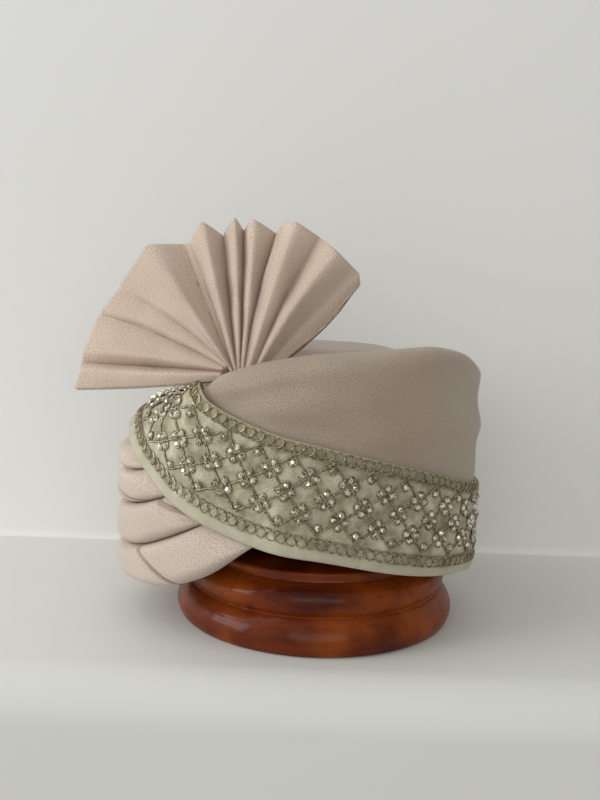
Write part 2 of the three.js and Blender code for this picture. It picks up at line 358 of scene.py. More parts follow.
def settle(piece: bpy.types.Object, slot: Slot, *nodes: str) -> None:
    """Rides a finished piece on the one body, and hides the solids it stands for."""
    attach(piece, BODY)
    if nodes:
        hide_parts(*nodes)
    LOG.info("%s: %d faces", piece.name, len(piece.data.polygons))


class Graph:
    """Adds and links the nodes of one shader or geometry tree."""

    def __init__(self, tree: bpy.types.NodeTree) -> None:
        """Keeps the tree that nodes are added to."""
        self.tree = tree

    def add(self, kind: str, inputs: dict | None = None, **settings: object) -> bpy.types.Node:
        """A new node with its settings made and its inputs fed.

        Args:
            kind: The node's type.
            inputs: A value or a socket for each input, by name or number.
            settings: The node's own properties.

        Returns:
            The node.
        """
        node = self.tree.nodes.new(kind)
        for name, value in settings.items():
            setattr(node, name, value)
        for name, value in (inputs or {}).items():
            self.feed(node.inputs[name], value)
        return node

    def feed(self, socket: bpy.types.NodeSocket, value: object) -> None:
        """Links a socket to another, or sets its value."""
        if isinstance(value, bpy.types.NodeSocket):
            self.tree.links.new(value, socket)
        else:
            socket.default_value = value

    def maths(self, operation: str, *values: object) -> bpy.types.NodeSocket:
        """The result of a Math node on one to three values."""
        return self.add("ShaderNodeMath", dict(enumerate(values)), operation=operation).outputs[0]

    def vectors(self, operation: str, *values: object) -> bpy.types.NodeSocket:
        """The vector result of a Vector Math node on two vectors."""
        node = self.add("ShaderNodeVectorMath", dict(enumerate(values)), operation=operation)
        return node.outputs["Vector"]

    def scaled(self, vector: bpy.types.NodeSocket, scale: object) -> bpy.types.NodeSocket:
        """A vector times a number."""
        node = self.add("ShaderNodeVectorMath", {0: vector, "Scale": scale}, operation="SCALE")
        return node.outputs["Vector"]

    def remap(self, value: object, source: tuple, target: tuple) -> bpy.types.NodeSocket:
        """A value moved from one range to another, held at the ends."""
        names = ("From Min", "From Max", "To Min", "To Max")
        inputs = dict(zip(names, (*source, *target)), Value=value)
        return self.add("ShaderNodeMapRange", inputs).outputs["Result"]

    def mix(self, share: object, first: object, second: object, blend: str = "MIX") -> bpy.types.NodeSocket:
        """A colour between two colours, by share."""
        node = self.add("ShaderNodeMix", data_type="RGBA", blend_type=blend)
        for socket, value in zip((node.inputs[0], node.inputs[6], node.inputs[7]), (share, first, second)):
            self.feed(socket, (*value, 1.0) if isinstance(value, tuple) else value)
        return node.outputs[2]

    def noise(
        self, place: object, scale: object, detail: float = 2.0, rough: float = 0.5,
    ) -> bpy.types.NodeSocket:
        """The value of a noise texture."""
        inputs = {"Vector": place, "Scale": scale, "Detail": detail, "Roughness": rough}
        return self.add("ShaderNodeTexNoise", inputs).outputs[0]


def new_material(name: str) -> tuple[bpy.types.Material, Graph, bpy.types.Node]:
    """A material with a Principled shader.

    Args:
        name: The material's name.

    Returns:
        The material, its graph, and the shader node.
    """
    material = bpy.data.materials.new(name)
    material.use_nodes = True
    graph = Graph(material.node_tree)
    return material, graph, material.node_tree.nodes["Principled BSDF"]


def woven_cloth() -> bpy.types.NodeTree:
    """A shader group with the height, flecks and tones of a fine woven cloth.

    Returns:
        The group. `Cloth` takes cloth coordinates in metres, and the sizes are in metres.
    """
    tree = bpy.data.node_groups.new("woven cloth", "ShaderNodeTree")
    tree.interface.new_socket("Cloth", in_out="INPUT", socket_type="NodeSocketVector")
    for name in ("Thread Pitch", "Fleck Size", "Tone Size"):
        tree.interface.new_socket(name, in_out="INPUT", socket_type="NodeSocketFloat")
    for name in ("Height", "Fleck", "Tone"):
        tree.interface.new_socket(name, in_out="OUTPUT", socket_type="NodeSocketFloat")
    graph = Graph(tree)
    given = graph.add("NodeGroupInput").outputs
    cloth = graph.add("ShaderNodeSeparateXYZ", {0: given["Cloth"]}).outputs
    number = graph.maths("DIVIDE", math.tau, given["Thread Pitch"])
    warp = graph.maths("SINE", graph.maths("MULTIPLY", cloth["X"], number))
    weft = graph.maths("SINE", graph.maths("MULTIPLY", cloth["Y"], number))
    threads = graph.maths("MULTIPLY", warp, weft)
    fleck = graph.noise(given["Cloth"], graph.maths("DIVIDE", 1.0, given["Fleck Size"]), 1.5, 0.6)
    tone = graph.noise(given["Cloth"], graph.maths("DIVIDE", 1.0, given["Tone Size"]), 3.0, 0.55)
    results = graph.add("NodeGroupOutput").inputs
    graph.feed(results["Height"], graph.maths("MULTIPLY_ADD", threads, 0.5, 0.5))
    graph.feed(results["Fleck"], graph.remap(fleck, (0.33, 0.67), (0.0, 1.0)))
    graph.feed(results["Tone"], graph.remap(tone, (0.3, 0.7), (0.0, 1.0)))
    return tree


@dataclass(frozen=True)
class ClothFinish:
    """A woven cloth with a soft shine, and fine flecks of shiny thread that are painted lighter and darker
    as sparkle.
    """

    name: str
    pale: Colour
    deep: Colour
    fleck_sparkle: float
    fleck_metal: float
    matt: float
    bright: float
    thread_pitch: float
    fleck_size: float
    tone_size: float
    sheen: float
    relief: float
    sheen_roughness: float = 0.45
    fleck_height: float = 0.8
    thread_depth: float = 0.3

    def material(self, weave: bpy.types.NodeTree) -> bpy.types.Material:
        """The finish as a material that reads the piece's cloth coordinates.

        Args:
            weave: The shared group of a woven cloth.

        Returns:
            The material.
        """
        material, graph, shader = new_material(self.name)
        cloth = graph.add("ShaderNodeUVMap", uv_map="UVMap").outputs[0]
        woven = graph.add("ShaderNodeGroup", node_tree=weave)
        sizes = (self.thread_pitch, self.fleck_size, self.tone_size)
        for name, size in zip(("Thread Pitch", "Fleck Size", "Tone Size"), sizes):
            graph.feed(woven.inputs[name], size * MM)
        graph.feed(woven.inputs["Cloth"], cloth)
        fleck, tone = woven.outputs["Fleck"], woven.outputs["Tone"]
        colour = graph.mix(tone, self.deep, self.pale)
        # Painted sparkle: the flecks lighten and darken the base colour, besides their real metal, smoother
        # finish and raised bump.
        sparkle = graph.remap(fleck, (0.0, 1.0), (1 - self.fleck_sparkle, 1 + self.fleck_sparkle))
        sparkle_grey = graph.add("ShaderNodeCombineColor", {0: sparkle, 1: sparkle, 2: sparkle}).outputs[0]
        colour = graph.mix(1.0, colour, sparkle_grey, "MULTIPLY")
        graph.feed(shader.inputs["Base Color"], self.tint(graph, cloth, colour))
        graph.feed(shader.inputs["Roughness"], graph.remap(fleck, (0.2, 1.0), (self.matt, self.bright)))
        graph.feed(shader.inputs["Metallic"], graph.remap(fleck, (0.5, 1.0), (0.0, self.fleck_metal)))
        height = graph.maths("MULTIPLY_ADD", fleck, self.fleck_height, woven.outputs["Height"])
        inputs = {"Height": height, "Strength": self.relief, "Distance": self.thread_depth * MM}
        graph.feed(shader.inputs["Normal"], graph.add("ShaderNodeBump", inputs).outputs[0])
        shader.inputs["Sheen Weight"].default_value = self.sheen
        shader.inputs["Sheen Roughness"].default_value = self.sheen_roughness
        return material

    def tint(self, graph: Graph, cloth: object, colour: object) -> object:
        """The cloth's colour as it is, for finishes with no borders."""
        return colour


@dataclass(frozen=True)
class BandFinish(ClothFinish):
    """The band's silk, with a darker colour under its upper looped border and paler hems."""

    hem: Colour = (0.56, 0.525, 0.385)
    border: Colour = (0.33, 0.275, 0.16)
    low_hem: float = 6.0
    high_border: float = 60.6
    high_hem: float = 67.2
    soft: float = 0.5

    def tint(self, graph: Graph, cloth: object, colour: object) -> object:
        """Paints the hems and the upper border by the distance across the band.

        Args:
            graph: The material's graph.
            cloth: Cloth coordinates, the second of them the distance up from the lower edge.
            colour: The silk's own colour.

        Returns:
            The painted colour.
        """
        across = graph.add("ShaderNodeSeparateXYZ", {0: cloth}).outputs["Y"]
        bounds = ((self.high_border, (0.0, 0.55), self.border), (self.high_hem, (0.0, 0.9), self.hem))
        for edge, shares, paint in (*bounds, (self.low_hem, (0.75, 0.0), self.hem)):
            share = graph.remap(across, (edge * MM, (edge + self.soft) * MM), shares)
            colour = graph.mix(share, colour, paint)
        return colour


@dataclass(frozen=True)
class WoodFinish:
    """Streaky red-brown hardwood under a gloss varnish."""

    name: str
    light: Colour
    middle: Colour
    dark: Colour
    figure_scale: tuple[float, float, float] = (5.0, 60.0, 34.0)
    pore_scale: tuple[float, float, float] = (22.0, 420.0, 300.0)
    cloud_scale: float = 22.0
    tool_mark: float = 1.3
    streak: float = 0.012
    mark_strength: float = 0.35
    mark_depth: float = 0.4
    specular: float = 0.08
    coat: float = 0.28
    coat_roughness: float = 0.11

    def material(self) -> bpy.types.Material:
        """The finish as a material with its grain along X, and the lathe's marks round the axis."""
        material, graph, shader = new_material(self.name)
        place = graph.add("ShaderNodeTexCoord").outputs["Object"]
        plank = graph.add("ShaderNodeMapping", {"Vector": place, "Scale": self.figure_scale}).outputs[0]
        figure = graph.noise(plank, 1.0, 5.0, 0.6)
        fine = graph.add("ShaderNodeMapping", {"Vector": place, "Scale": self.pore_scale}).outputs[0]
        pores = graph.noise(fine, 1.0, 3.0, 0.6)
        cloud = graph.noise(place, self.cloud_scale, 2.0)
        colour = graph.mix(graph.remap(figure, (0.36, 0.62), (0.0, 1.0)), self.dark, self.middle)
        colour = graph.mix(graph.remap(cloud, (0.45, 0.7), (0.0, 0.8)), colour, self.light)
        colour = graph.mix(graph.remap(pores, (0.56, 0.72), (0.0, 0.55)), colour, self.dark)
        graph.feed(shader.inputs["Base Color"], colour)
        graph.feed(shader.inputs["Roughness"], graph.remap(pores, (0.3, 0.7), (0.34, 0.5)))
        axes = graph.add("ShaderNodeSeparateXYZ", {0: place}).outputs
        squares = [graph.maths("POWER", axes[axis], 2.0) for axis in (0, 1)]
        radius = graph.maths("SQRT", graph.maths("ADD", *squares))
        turn = graph.maths("MULTIPLY", graph.maths("ARCTAN2", axes[1], axes[0]), self.streak)
        turned = graph.add("ShaderNodeCombineXYZ", {0: radius, 1: axes[2], 2: turn}).outputs[0]
        marks = graph.noise(turned, 1 / (self.tool_mark * MM), 2.0)
        inputs = {"Height": marks, "Strength": self.mark_strength, "Distance": self.mark_depth * MM}
        bump = graph.add("ShaderNodeBump", inputs)
        graph.feed(shader.inputs["Normal"], bump.outputs[0])
        graph.feed(shader.inputs["Coat Normal"], bump.outputs[0])
        shader.inputs["Specular IOR Level"].default_value = self.specular
        shader.inputs["Coat Weight"].default_value = self.coat
        shader.inputs["Coat Roughness"].default_value = self.coat_roughness
        return material


@dataclass(frozen=True)
class MetalFinish:
    """Antique metal with darker patches of tarnish."""

    name: str
    bright: Colour
    tarnish: Colour
    polish: float
    dull: float
    patch: float

    def material(self) -> bpy.types.Material:
        """The finish as a material on object coordinates."""
        material, graph, shader = new_material(self.name)
        place = graph.add("ShaderNodeTexCoord").outputs["Object"]
        patches = graph.noise(place, 1 / (self.patch * MM), 3.0, 0.6)
        share = graph.remap(patches, (0.38, 0.62), (0.0, 1.0))
        graph.feed(shader.inputs["Base Color"], graph.mix(share, self.bright, self.tarnish))
        graph.feed(shader.inputs["Roughness"], graph.remap(share, (0.0, 1.0), (self.polish, self.dull)))
        shader.inputs["Metallic"].default_value = 1.0
        return material


@dataclass(frozen=True)
class StoneFinish:
    """Cut glass stones over foil, metallic and coated, with their facets painted bright or dark: painted
    glints and painted dark reflections.
    """

    name: str
    bright: Colour
    dark: Colour
    glint_facet: float
    metallic: float = 0.5
    roughness: float = 0.08
    coat_roughness: float = 0.02

    def material(self) -> bpy.types.Material:
        """The finish as a material whose facets are painted bright or dark, as painted glints and painted
        dark reflections.
        """
        material, graph, shader = new_material(self.name)
        place = graph.add("ShaderNodeTexCoord").outputs["Object"]
        cells = graph.add("ShaderNodeTexVoronoi", {"Vector": place, "Scale": 1 / (self.glint_facet * MM)})
        # Painted glints: each cell stands for one facet and is painted bright, as if it caught a lamp, or
        # dark, as if it faced the dark room.
        glint = graph.add("ShaderNodeSeparateColor", {0: cells.outputs["Color"]}).outputs[0]
        share = graph.remap(glint, (0.25, 0.5), (0.0, 1.0))
        graph.feed(shader.inputs["Base Color"], graph.mix(share, self.dark, self.bright))
        shader.inputs["Metallic"].default_value = self.metallic
        shader.inputs["Roughness"].default_value = self.roughness
        shader.inputs["Coat Weight"].default_value = 1.0
        shader.inputs["Coat Roughness"].default_value = self.coat_roughness
        return material


@dataclass(frozen=True)
class Wall:
    """The turban's wound wall, which the other pieces of cloth are placed on."""

    centre_x: float = -9.7
    half_length: float = 114.2
    half_width: float = 93.0
    thickness: float = 12.0
    inner_corner: float = 1.0
    arc_steps: int = 1440

    def column(self, name: str, angle: Array) -> Array:
        """One of the heights in SECTIONS at angles round the turban."""
        return look_up(SECTIONS, name, from_brow(angle))

    def top(self, angle: Array) -> Array:
        """The height that the wall reaches."""
        near = np.mod(angle, FULL_TURN) > 180
        return np.where(near, self.column("near_top", angle), self.column("far_top", angle))

    def turns_at(self, angle: Array) -> Array:
        """The height where the wall starts to turn in."""
        return self.top(angle) - self.column("shoulder", angle)

    def end(self, angle: Array) -> Array:
        """How far up the wall its inner edge lies."""
        turned = self.column("shoulder", angle) * math.pi / 2
        return self.turns_at(angle) + turned + self.column("lip", angle)

    def plan_point(self, angle: Array, outward: Array, height: Array) -> Array:
        """Points at a height, moved straight out from the wall's plan ellipse.

        Args:
            angle: Degrees round the turban.
            outward: Distance out from the ellipse.
            height: Height above the floor.

        Returns:
            The points, with X, Y and Z on a last axis.
        """
        angle, outward, height = np.broadcast_arrays(angle, outward, height)
        turn = np.radians(angle)
        x, y = self.half_length * np.cos(turn), self.half_width * np.sin(turn)
        normal = unit(np.stack([x / self.half_length**2, y / self.half_width**2], -1))
        flat = np.stack([self.centre_x + x, y], -1) + normal * outward[..., None]
        return np.concatenate([flat, height[..., None]], -1)

    def point(self, angle: Array, up: Array, lift: Array) -> Array:
        """Points on the wall's outside, `up` along it and over the shoulder, lifted off it.

        Args:
            angle: Degrees round the turban.
            up: Distance up the wall from the floor, over the shoulder.
            lift: Distance off the wall.

        Returns:
            The points.
        """
        shoulder, turns_at = self.column("shoulder", angle), self.turns_at(angle)
        turn = np.clip((up - turns_at) / shoulder, 0, math.pi / 2)
        level = np.maximum(0, up - turns_at - shoulder * math.pi / 2)
        inset = shoulder * (1 - np.cos(turn)) + level
        height = np.minimum(up, turns_at) + (shoulder + lift) * np.sin(turn)
        return self.plan_point(angle, lift * np.cos(turn) - inset, height)

    def inner_point(self, angle: Array, turned: Array) -> Array:
        """Points on the wall's inside, from 0 where it starts to turn in to 1 at its end."""
        radius = np.maximum(self.column("shoulder", angle) - self.thickness, self.inner_corner)
        turn = turned * math.pi / 2
        inset = self.thickness + radius * (1 - np.cos(turn)) + self.column("lip", angle) * turned**3
        return self.plan_point(angle, -inset, self.turns_at(angle) + radius * np.sin(turn))

    def arc(self) -> tuple[Array, Array]:
        """Angles all the way round, and the wall's length from the nape to each of them."""
        angles = np.linspace(0, FULL_TURN, self.arc_steps + 1)
        plan = self.plan_point(angles, 0.0, 0.0)
        steps = np.linalg.norm(np.diff(plan, axis=0), axis=1)
        return angles, np.concatenate([[0.0], np.cumsum(steps)])


@dataclass(frozen=True)
class CrownWrap:
    """The wound cloth of the crown, with its soft drapes and the folded layers of its rim."""

    wall: Wall
    puff: float = 2.5
    puff_from: float = 4.0
    puff_height: float = 15.0
    flat_from: float = 125.0
    flat_to: float = 160.0
    flattened: float = 0.9
    sway: float = 0.5
    sway_size: float = 46.0
    still_over: float = 14.0
    still_share: float = 0.35
    layers: int = 5
    layer_depth: float = 0.9
    layer_steps: int = 6
    outside_steps: int = 43
    shoulder_steps: int = 18
    inside_steps: int = 12
    inner_steps: int = 10
    stations: int = 300
    flat: tuple[float, float] = (0.66, 0.124)

    def drape(self, angle: Array, up: Array) -> Array:
        """How far the soft folds stand off the smooth wall."""
        angles, arc = self.wall.arc()
        length = arc[-1]
        here = np.interp(angle, angles, arc)
        lift = self.sway * ripple(here, up, self.sway_size, 7)
        for row in DRAPES:
            start = np.array([np.interp(row.from_angle, angles, arc), row.from_up])
            end = np.array([start[0] + (row.to_angle - row.from_angle) / FULL_TURN * length, row.to_up])
            run = end - start
            offset = np.mod(here - start[0] + length / 4, length) - length / 4
            share = (offset * run[0] + (up - start[1]) * run[1]) / (run @ run)
            across = (offset * run[1] - (up - start[1]) * run[0]) / np.hypot(*run)
            fade = smoothstep(share, -0.1, 0.3) * (1 - smoothstep(share, 0.7, 1.15))
            lift = lift + row.height * fade * np.exp(-((across / row.width) ** 2))
        return lift

    def build(self) -> bpy.types.Object:
        """The wrap as a closed sheet: up the outside, over the shoulder, down the inside and the rim."""
        wall = self.wall
        angle = np.arange(self.stations)[:, None] * FULL_TURN / self.stations
        rim, high = wall.column("rim", angle), wall.column("high", angle)
        turns_at, end = wall.turns_at(angle), wall.end(angle)
        up = np.concatenate([
            lerp(rim, turns_at, np.linspace(0, 1, self.outside_steps, endpoint=False)[None]),
            lerp(turns_at, end, np.linspace(0, 1, self.shoulder_steps)[None]),
        ], 1)
        shown = smoothstep(up - high, 0, self.puff_from * 3)
        fade = 1 - smoothstep(up - turns_at, 0, self.still_over)
        nape = smoothstep(from_brow(angle), self.flat_from, self.flat_to)
        puff = self.puff * (1 - self.flattened * nape)
        lift = puff * smoothstep(up - high - self.puff_from, 0, self.puff_height)
        lift = lift + shown * lerp(self.still_share, 1.0, fade) * self.drape(angle, up)
        outside = wall.point(angle, up, lift)
        inside = wall.inner_point(angle, np.linspace(1, 0, self.inside_steps)[None])
        down = np.linspace(0, 1, self.inner_steps)[None, 1:]
        inner = wall.plan_point(angle, -wall.thickness, lerp(turns_at, rim, down))
        share = np.linspace(0, 1, self.layers * self.layer_steps + 1)[None, 1:-1]
        groove = self.layer_depth * (1 - np.abs(np.sin(math.pi * self.layers * share)))
        under = wall.plan_point(angle, -wall.thickness * (1 - share), rim + groove)
        points = np.concatenate([outside, inside, inner, under], 1)
        return skin("turban_crown_wrap", points, self.cloth(points), ring=True)

    def cloth(self, points: Array) -> Array:
        """Cloth coordinates in metres: round the turban, and along each section."""
        closed = np.concatenate([points, points[:, :1]], 1)
        closed = np.concatenate([closed, closed[:1]], 0)
        across = np.cumsum(np.linalg.norm(np.diff(closed, axis=1), axis=-1), 1)
        across = np.concatenate([np.zeros((len(across), 1)), across], 1) * MM
        along = np.linspace(0, self.wall.arc()[1][-1] * MM, len(closed))[:, None]
        return np.stack(np.broadcast_arrays(along, across), -1)

    def dress(self, piece: bpy.types.Object, material: bpy.types.Material) -> None:
        """Gives the wrap its cloth and rides it on the body in place of its solid."""
        piece.data.materials.append(material)
        settle(piece, Slot.SATIN, "crown_wrap")


@dataclass(frozen=True)
class CrownCap:
    """The cloth top inside the wrap, domed over the pad and gathered at its edge."""

    wall: Wall
    apex: float = 182.0
    edge: float = 164.0
    below_top: float = 5.0
    thickness: float = 2.5
    level: float = 0.42
    gap: float = 0.4
    gathers: int = 22
    gather_depth: float = 0.7
    stations: int = 264
    rings: int = 44
    flat: tuple[float, float] = (0.185, 0.17)
    flat_area: float = 0.0255

    def surface(self, drop: float) -> Array:
        """Rings of points from the middle to the edge, lowered by a drop."""
        wall = self.wall
        angle = np.arange(self.stations)[None] * FULL_TURN / self.stations
        share = np.linspace(0.02, 1, self.rings)[:, None]
        inset = np.maximum(wall.thickness + wall.inner_corner, wall.column("shoulder", angle))
        inset = inset + wall.column("lip", angle) + self.gap
        edge_height = np.minimum(self.edge, wall.top(angle) - self.below_top)
        height = lerp(self.apex, edge_height, smoothstep(share, self.level, 1))
        wave = np.cos(np.radians(angle) * self.gathers + 2 * np.sin(np.radians(angle) * 3))
        soft = smoothstep(share, 0.4, 0.95)
        height = height - self.gather_depth * soft * (0.5 + 0.5 * wave) - drop
        rim = wall.plan_point(angle, -inset, 0.0)[..., :2]
        flat = rim * share[..., None]
        height = height + 0.5 * (1 - soft) * soft * 4 * ripple(flat[..., 0], flat[..., 1], 40.0, 11)
        return np.concatenate([flat, height[..., None]], -1)

    def build(self) -> bpy.types.Object:
        """The cap as a closed sheet."""
        above = self.surface(0.0)
        below = self.surface(self.thickness)[::-1]
        points = np.concatenate([above, below], 0)
        closed = np.concatenate([points, points[:, :1]], 1)
        return skin("turban_crown_cap", points, closed[..., :2] * MM)

    def dress(self, piece: bpy.types.Object, material: bpy.types.Material) -> None:
        """Gives the cap its cloth and rides it on the body in place of its solid."""
        piece.data.materials.append(material)
        settle(piece, Slot.SATIN, "crown_cap")


@dataclass(frozen=True)
class Layout:
    """How the band is laid out across its width, as shares from its lower edge, and along it."""

    low_hem: float = 0.09
    low_loops: float = 0.153
    low_tips: float = 0.234
    high_tips: float = 0.882
    high_loops: float = 0.941
    high_hem: float = 0.985
    repeats: int = 29
    phase: float = 9.06
    rows: int = 4

    def share(self, height: Array) -> Array:
        """A height in the lattice, from 0 to 1, as a share of the band's width."""
        return lerp(self.low_tips, self.high_tips, height)

    def quilt(self, turns: Array, share: Array) -> Array:
        """How far the silk puffs up between the cords: 0 under them and 1 amid four of them.

        Args:
            turns: Places along the band, counted in repeats.
            share: Places across it.

        Returns:
            The puff.
        """
        slant = (share - self.low_tips) / (self.high_tips - self.low_tips) * self.rows / 2
        rising, falling = (np.sin(math.pi * (turns + way * slant)) ** 2 for way in (-1, 1))
        return np.sqrt(rising * falling)


@dataclass
class Band:
    """The silk band: one strip right round, high over the brow and low at the nape."""

    wall: Wall
    layout: Layout
    thickness: float = 1.4
    clearance: float = 0.7
    over_rolls: float = 2.0
    over_roll_edge: float = 2.8
    edge_reach: float = 12.0
    rolls_reach: tuple[float, float] = (50.0, 110.0)
    rolls_end: tuple[float, float] = (82.0, 104.0)
    corner_at: float = 53.0
    corner_reach: float = 20.0
    corner_lift: float = 2.5
    hem: float = 0.2
    hem_soft: tuple[float, float] = (0.015, 0.008)
    edge_round: float = 1.2
    edge_least: float = 0.25
    puff: float = 0.8
    puff_soft: float = 0.06
    pucker: float = 0.25
    pucker_size: float = 9.0
    cut_width: float = 68.0
    inside_height: float = 90.0
    low_part: float = 0.11
    high_part: float = 0.96
    stations: int = 640
    length: float = field(init=False)

    def __post_init__(self) -> None:
        """Works out the band's middle line on the unrolled wall, and its edges square to that line."""
        angles, arc = self.wall.arc()
        low, high = self.wall.column("low", angles), self.wall.column("high", angles)
        middle = np.stack([arc, (low + high) / 2], -1)
        along = unit(np.gradient(middle, axis=0))
        square = np.stack([-along[:, 1], along[:, 0]], -1)
        steps = np.linalg.norm(np.diff(middle, axis=0), axis=1)
        self._run = np.concatenate([[0.0], np.cumsum(steps)])
        self._arc, self._angles = arc, angles
        self._low = self._edge(middle, square, arc, low)
        self._high = self._edge(middle, square, arc, high)
        self.length = float(self._run[-1])

    def _edge(self, middle: Array, square: Array, arc: Array, heights: Array) -> Array:
        """Where lines square to the middle line meet an edge of the band."""
        reach = heights - middle[:, 1]
        tries = 12
        for _ in range(tries):
            at = middle[:, 0] + square[:, 0] * reach
            reach = (np.interp(at, arc, heights, period=arc[-1]) - middle[:, 1]) / square[:, 1]
        return middle + square * reach[:, None]

    def unrolled(self, run: Array, share: Array) -> tuple[Array, Array]:
        """Angle round the turban and distance up the wall of places on the band.

        Args:
            run: Distance along the middle line from the nape.
            share: From 0 at the lower edge to 1 at the upper.

        Returns:
            The angles and the distances up the wall.
        """
        run = np.mod(run, self.length)
        ends = []
        for edge in (self._low, self._high):
            ends.append([np.interp(run, self._run, edge[:, axis]) for axis in (0, 1)])
        arc, up = (lerp(low, high, share) for low, high in zip(*ends))
        return np.interp(arc, self._arc, self._angles), up

    def width(self, run: Array) -> Array:
        """The band's width from edge to edge, square to its middle line."""
        across = np.linalg.norm(self._high - self._low, axis=1)
        return np.interp(np.mod(run, self.length), self._run, across)

    def lift(self, angle: Array, from_edge: Array) -> Array:
        """How far the band's inside stands off the wall, at a distance up from its lower edge."""
        away = from_brow(angle)
        over_rolls = 1 - smoothstep(away, *self.rolls_end)
        edge = self.over_roll_edge * (1 - smoothstep(from_edge, 0, self.edge_reach))
        roll_lift = over_rolls * (self.over_rolls + edge) * (1 - smoothstep(from_edge, *self.rolls_reach))
        corner = 1 - smoothstep(np.abs(away - self.corner_at), 0, self.corner_reach)
        return self.clearance + roll_lift + self.corner_lift * corner

    def profile(self, run: Array, share: Array) -> Array:
        """The cloth's thickness: turned hems, and silk puffed up between the cords."""
        layout = self.layout
        below, above = share * self.cut_width, (1 - share) * self.cut_width
        hem = 1 - smoothstep(share, layout.low_hem - self.hem_soft[0], layout.low_hem)
        hem = hem + smoothstep(share, layout.high_hem - self.hem_soft[1], layout.high_hem)
        rounded = np.sqrt(np.clip(np.minimum(below, above) / self.edge_round, self.edge_least, 1))
        turns = (run - layout.phase) / self.length * layout.repeats
        inner = smoothstep(share, layout.low_tips, layout.low_tips + self.puff_soft)
        inner = inner * (1 - smoothstep(share, layout.high_tips - self.puff_soft, layout.high_tips))
        puff = self.puff * inner * layout.quilt(turns, share)
        pucker = self.pucker * (0.4 + 0.6 * inner) * ripple(run, below, self.pucker_size, 3)
        return self.thickness * rounded + self.hem * hem * rounded + puff + pucker

    def point(self, run: Array, share: Array, proud: Array, inside: bool = False) -> Array:
        """Points on the band, or proud of it.

        Args:
            run: Distance along the middle line.
            share: From 0 at the lower edge to 1 at the upper.
            proud: Distance off the surface.
            inside: Whether the surface is the one that lies on the wall.

        Returns:
            The points.
        """
        angle, up = self.unrolled(run, share)
        lift = self.lift(angle, up - self.wall.column("low", angle)) + proud
        if not inside:
            lift = lift + self.profile(run, share)
        return self.wall.point(angle, up, lift)

    def frame_at(self, run: Array, share: Array, proud: float) -> tuple[Array, Array, Array, Array]:
        """Points on the band with the directions there.

        Args:
            run: Distance along the middle line.
            share: From 0 at the lower edge to 1 at the upper.
            proud: Distance off the surface.

        Returns:
            The points, and unit vectors along the band, across it and out of it.
        """
        step = 1.5
        rise = step / self.width(run)
        here = self.point(run, share, proud)
        along = unit(self.point(run + step, share, proud) - self.point(run - step, share, proud))
        ahead = np.clip(share + rise, 0, 1)
        behind = np.clip(share - rise, 0, 1)
        across = unit(self.point(run, ahead, proud) - self.point(run, behind, proud))
        facing = unit(np.cross(across, along))
        outward = here - np.array([self.wall.centre_x, 0.0, self.inside_height])
        flip = np.where((facing * outward).sum(-1, keepdims=True) < 0, -1.0, 1.0)
        return here, along, across, facing * flip

    def build(self) -> bpy.types.Object:
        """The band as a closed sheet."""
        run = (np.arange(self.stations) * self.length / self.stations)[:, None]
        parts = ((0.0, self.low_part, 13), (self.low_part, self.high_part, 57), (self.high_part, 1.0, 7))
        steps = [np.linspace(low, high, count, endpoint=False) for low, high, count in parts]
        share = np.concatenate([*steps, [1.0]])[None]
        outside = self.point(run, share, 0.0)
        back = np.linspace(1, 0, 16)[None]
        inside = self.point(run, back, 0.0, inside=True)
        points = np.concatenate([outside, inside], 1)
        shares = np.concatenate([share, back, share[:, :1]], 1)
        runs = np.concatenate([run, [[self.length]]], 0)
        cloth = np.stack(np.broadcast_arrays(runs, shares * self.cut_width), -1) * MM
        return skin("turban_band", points, cloth, ring=True)

    def dress(self, piece: bpy.types.Object, material: bpy.types.Material) -> None:
        """Gives the band its silk and rides it on the body in place of its solid."""
        piece.data.materials.append(material)
        settle(piece, Slot.SILK, "band")
        flat = (float(self.width(self._run).mean()) * MM, self.length * MM)


def geometry_tree(name: str, sizes: Sequence[str]) -> tuple[Graph, dict]:
    """An empty geometry tree with named number inputs and a material input.

    Args:
        name: The tree's name.
        sizes: The names of its number inputs.

    Returns:
        The tree's graph, and its input sockets by name.
    """
    tree = bpy.data.node_groups.new(name, "GeometryNodeTree")
    tree.interface.new_socket("Geometry", in_out="INPUT", socket_type="NodeSocketGeometry")
    for size in sizes:
        tree.interface.new_socket(size, in_out="INPUT", socket_type="NodeSocketFloat")
    tree.interface.new_socket("Material", in_out="INPUT", socket_type="NodeSocketMaterial")
    tree.interface.new_socket("Geometry", in_out="OUTPUT", socket_type="NodeSocketGeometry")
    graph = Graph(tree)
    return graph, graph.add("NodeGroupInput").outputs


def end_tree(graph: Graph, given: dict, geometry: bpy.types.NodeSocket, smooth: bool) -> bpy.types.NodeTree:
    """Ends a geometry tree with real meshes in one material.

    Args:
        graph: The tree's graph.
        given: The tree's inputs.
        geometry: What the tree has made.
        smooth: Whether its faces are shaded smooth.

    Returns:
        The tree.
    """
    real = graph.add("GeometryNodeRealizeInstances", {"Geometry": geometry}).outputs[0]
    shaded = graph.add("GeometryNodeSetShadeSmooth", {"Geometry": real, "Shade Smooth": smooth}).outputs[0]
    dressed = graph.add("GeometryNodeSetMaterial", {"Geometry": shaded, "Material": given["Material"]})
    graph.add("NodeGroupOutput", {"Geometry": dressed.outputs[0]})
    return graph.tree


def named_vector(graph: Graph, name: str) -> bpy.types.NodeSocket:
    """A vector attribute of the guide."""
    node = graph.add("GeometryNodeInputNamedAttribute", data_type="FLOAT_VECTOR")
    node.inputs["Name"].default_value = name
    return node.outputs[0]


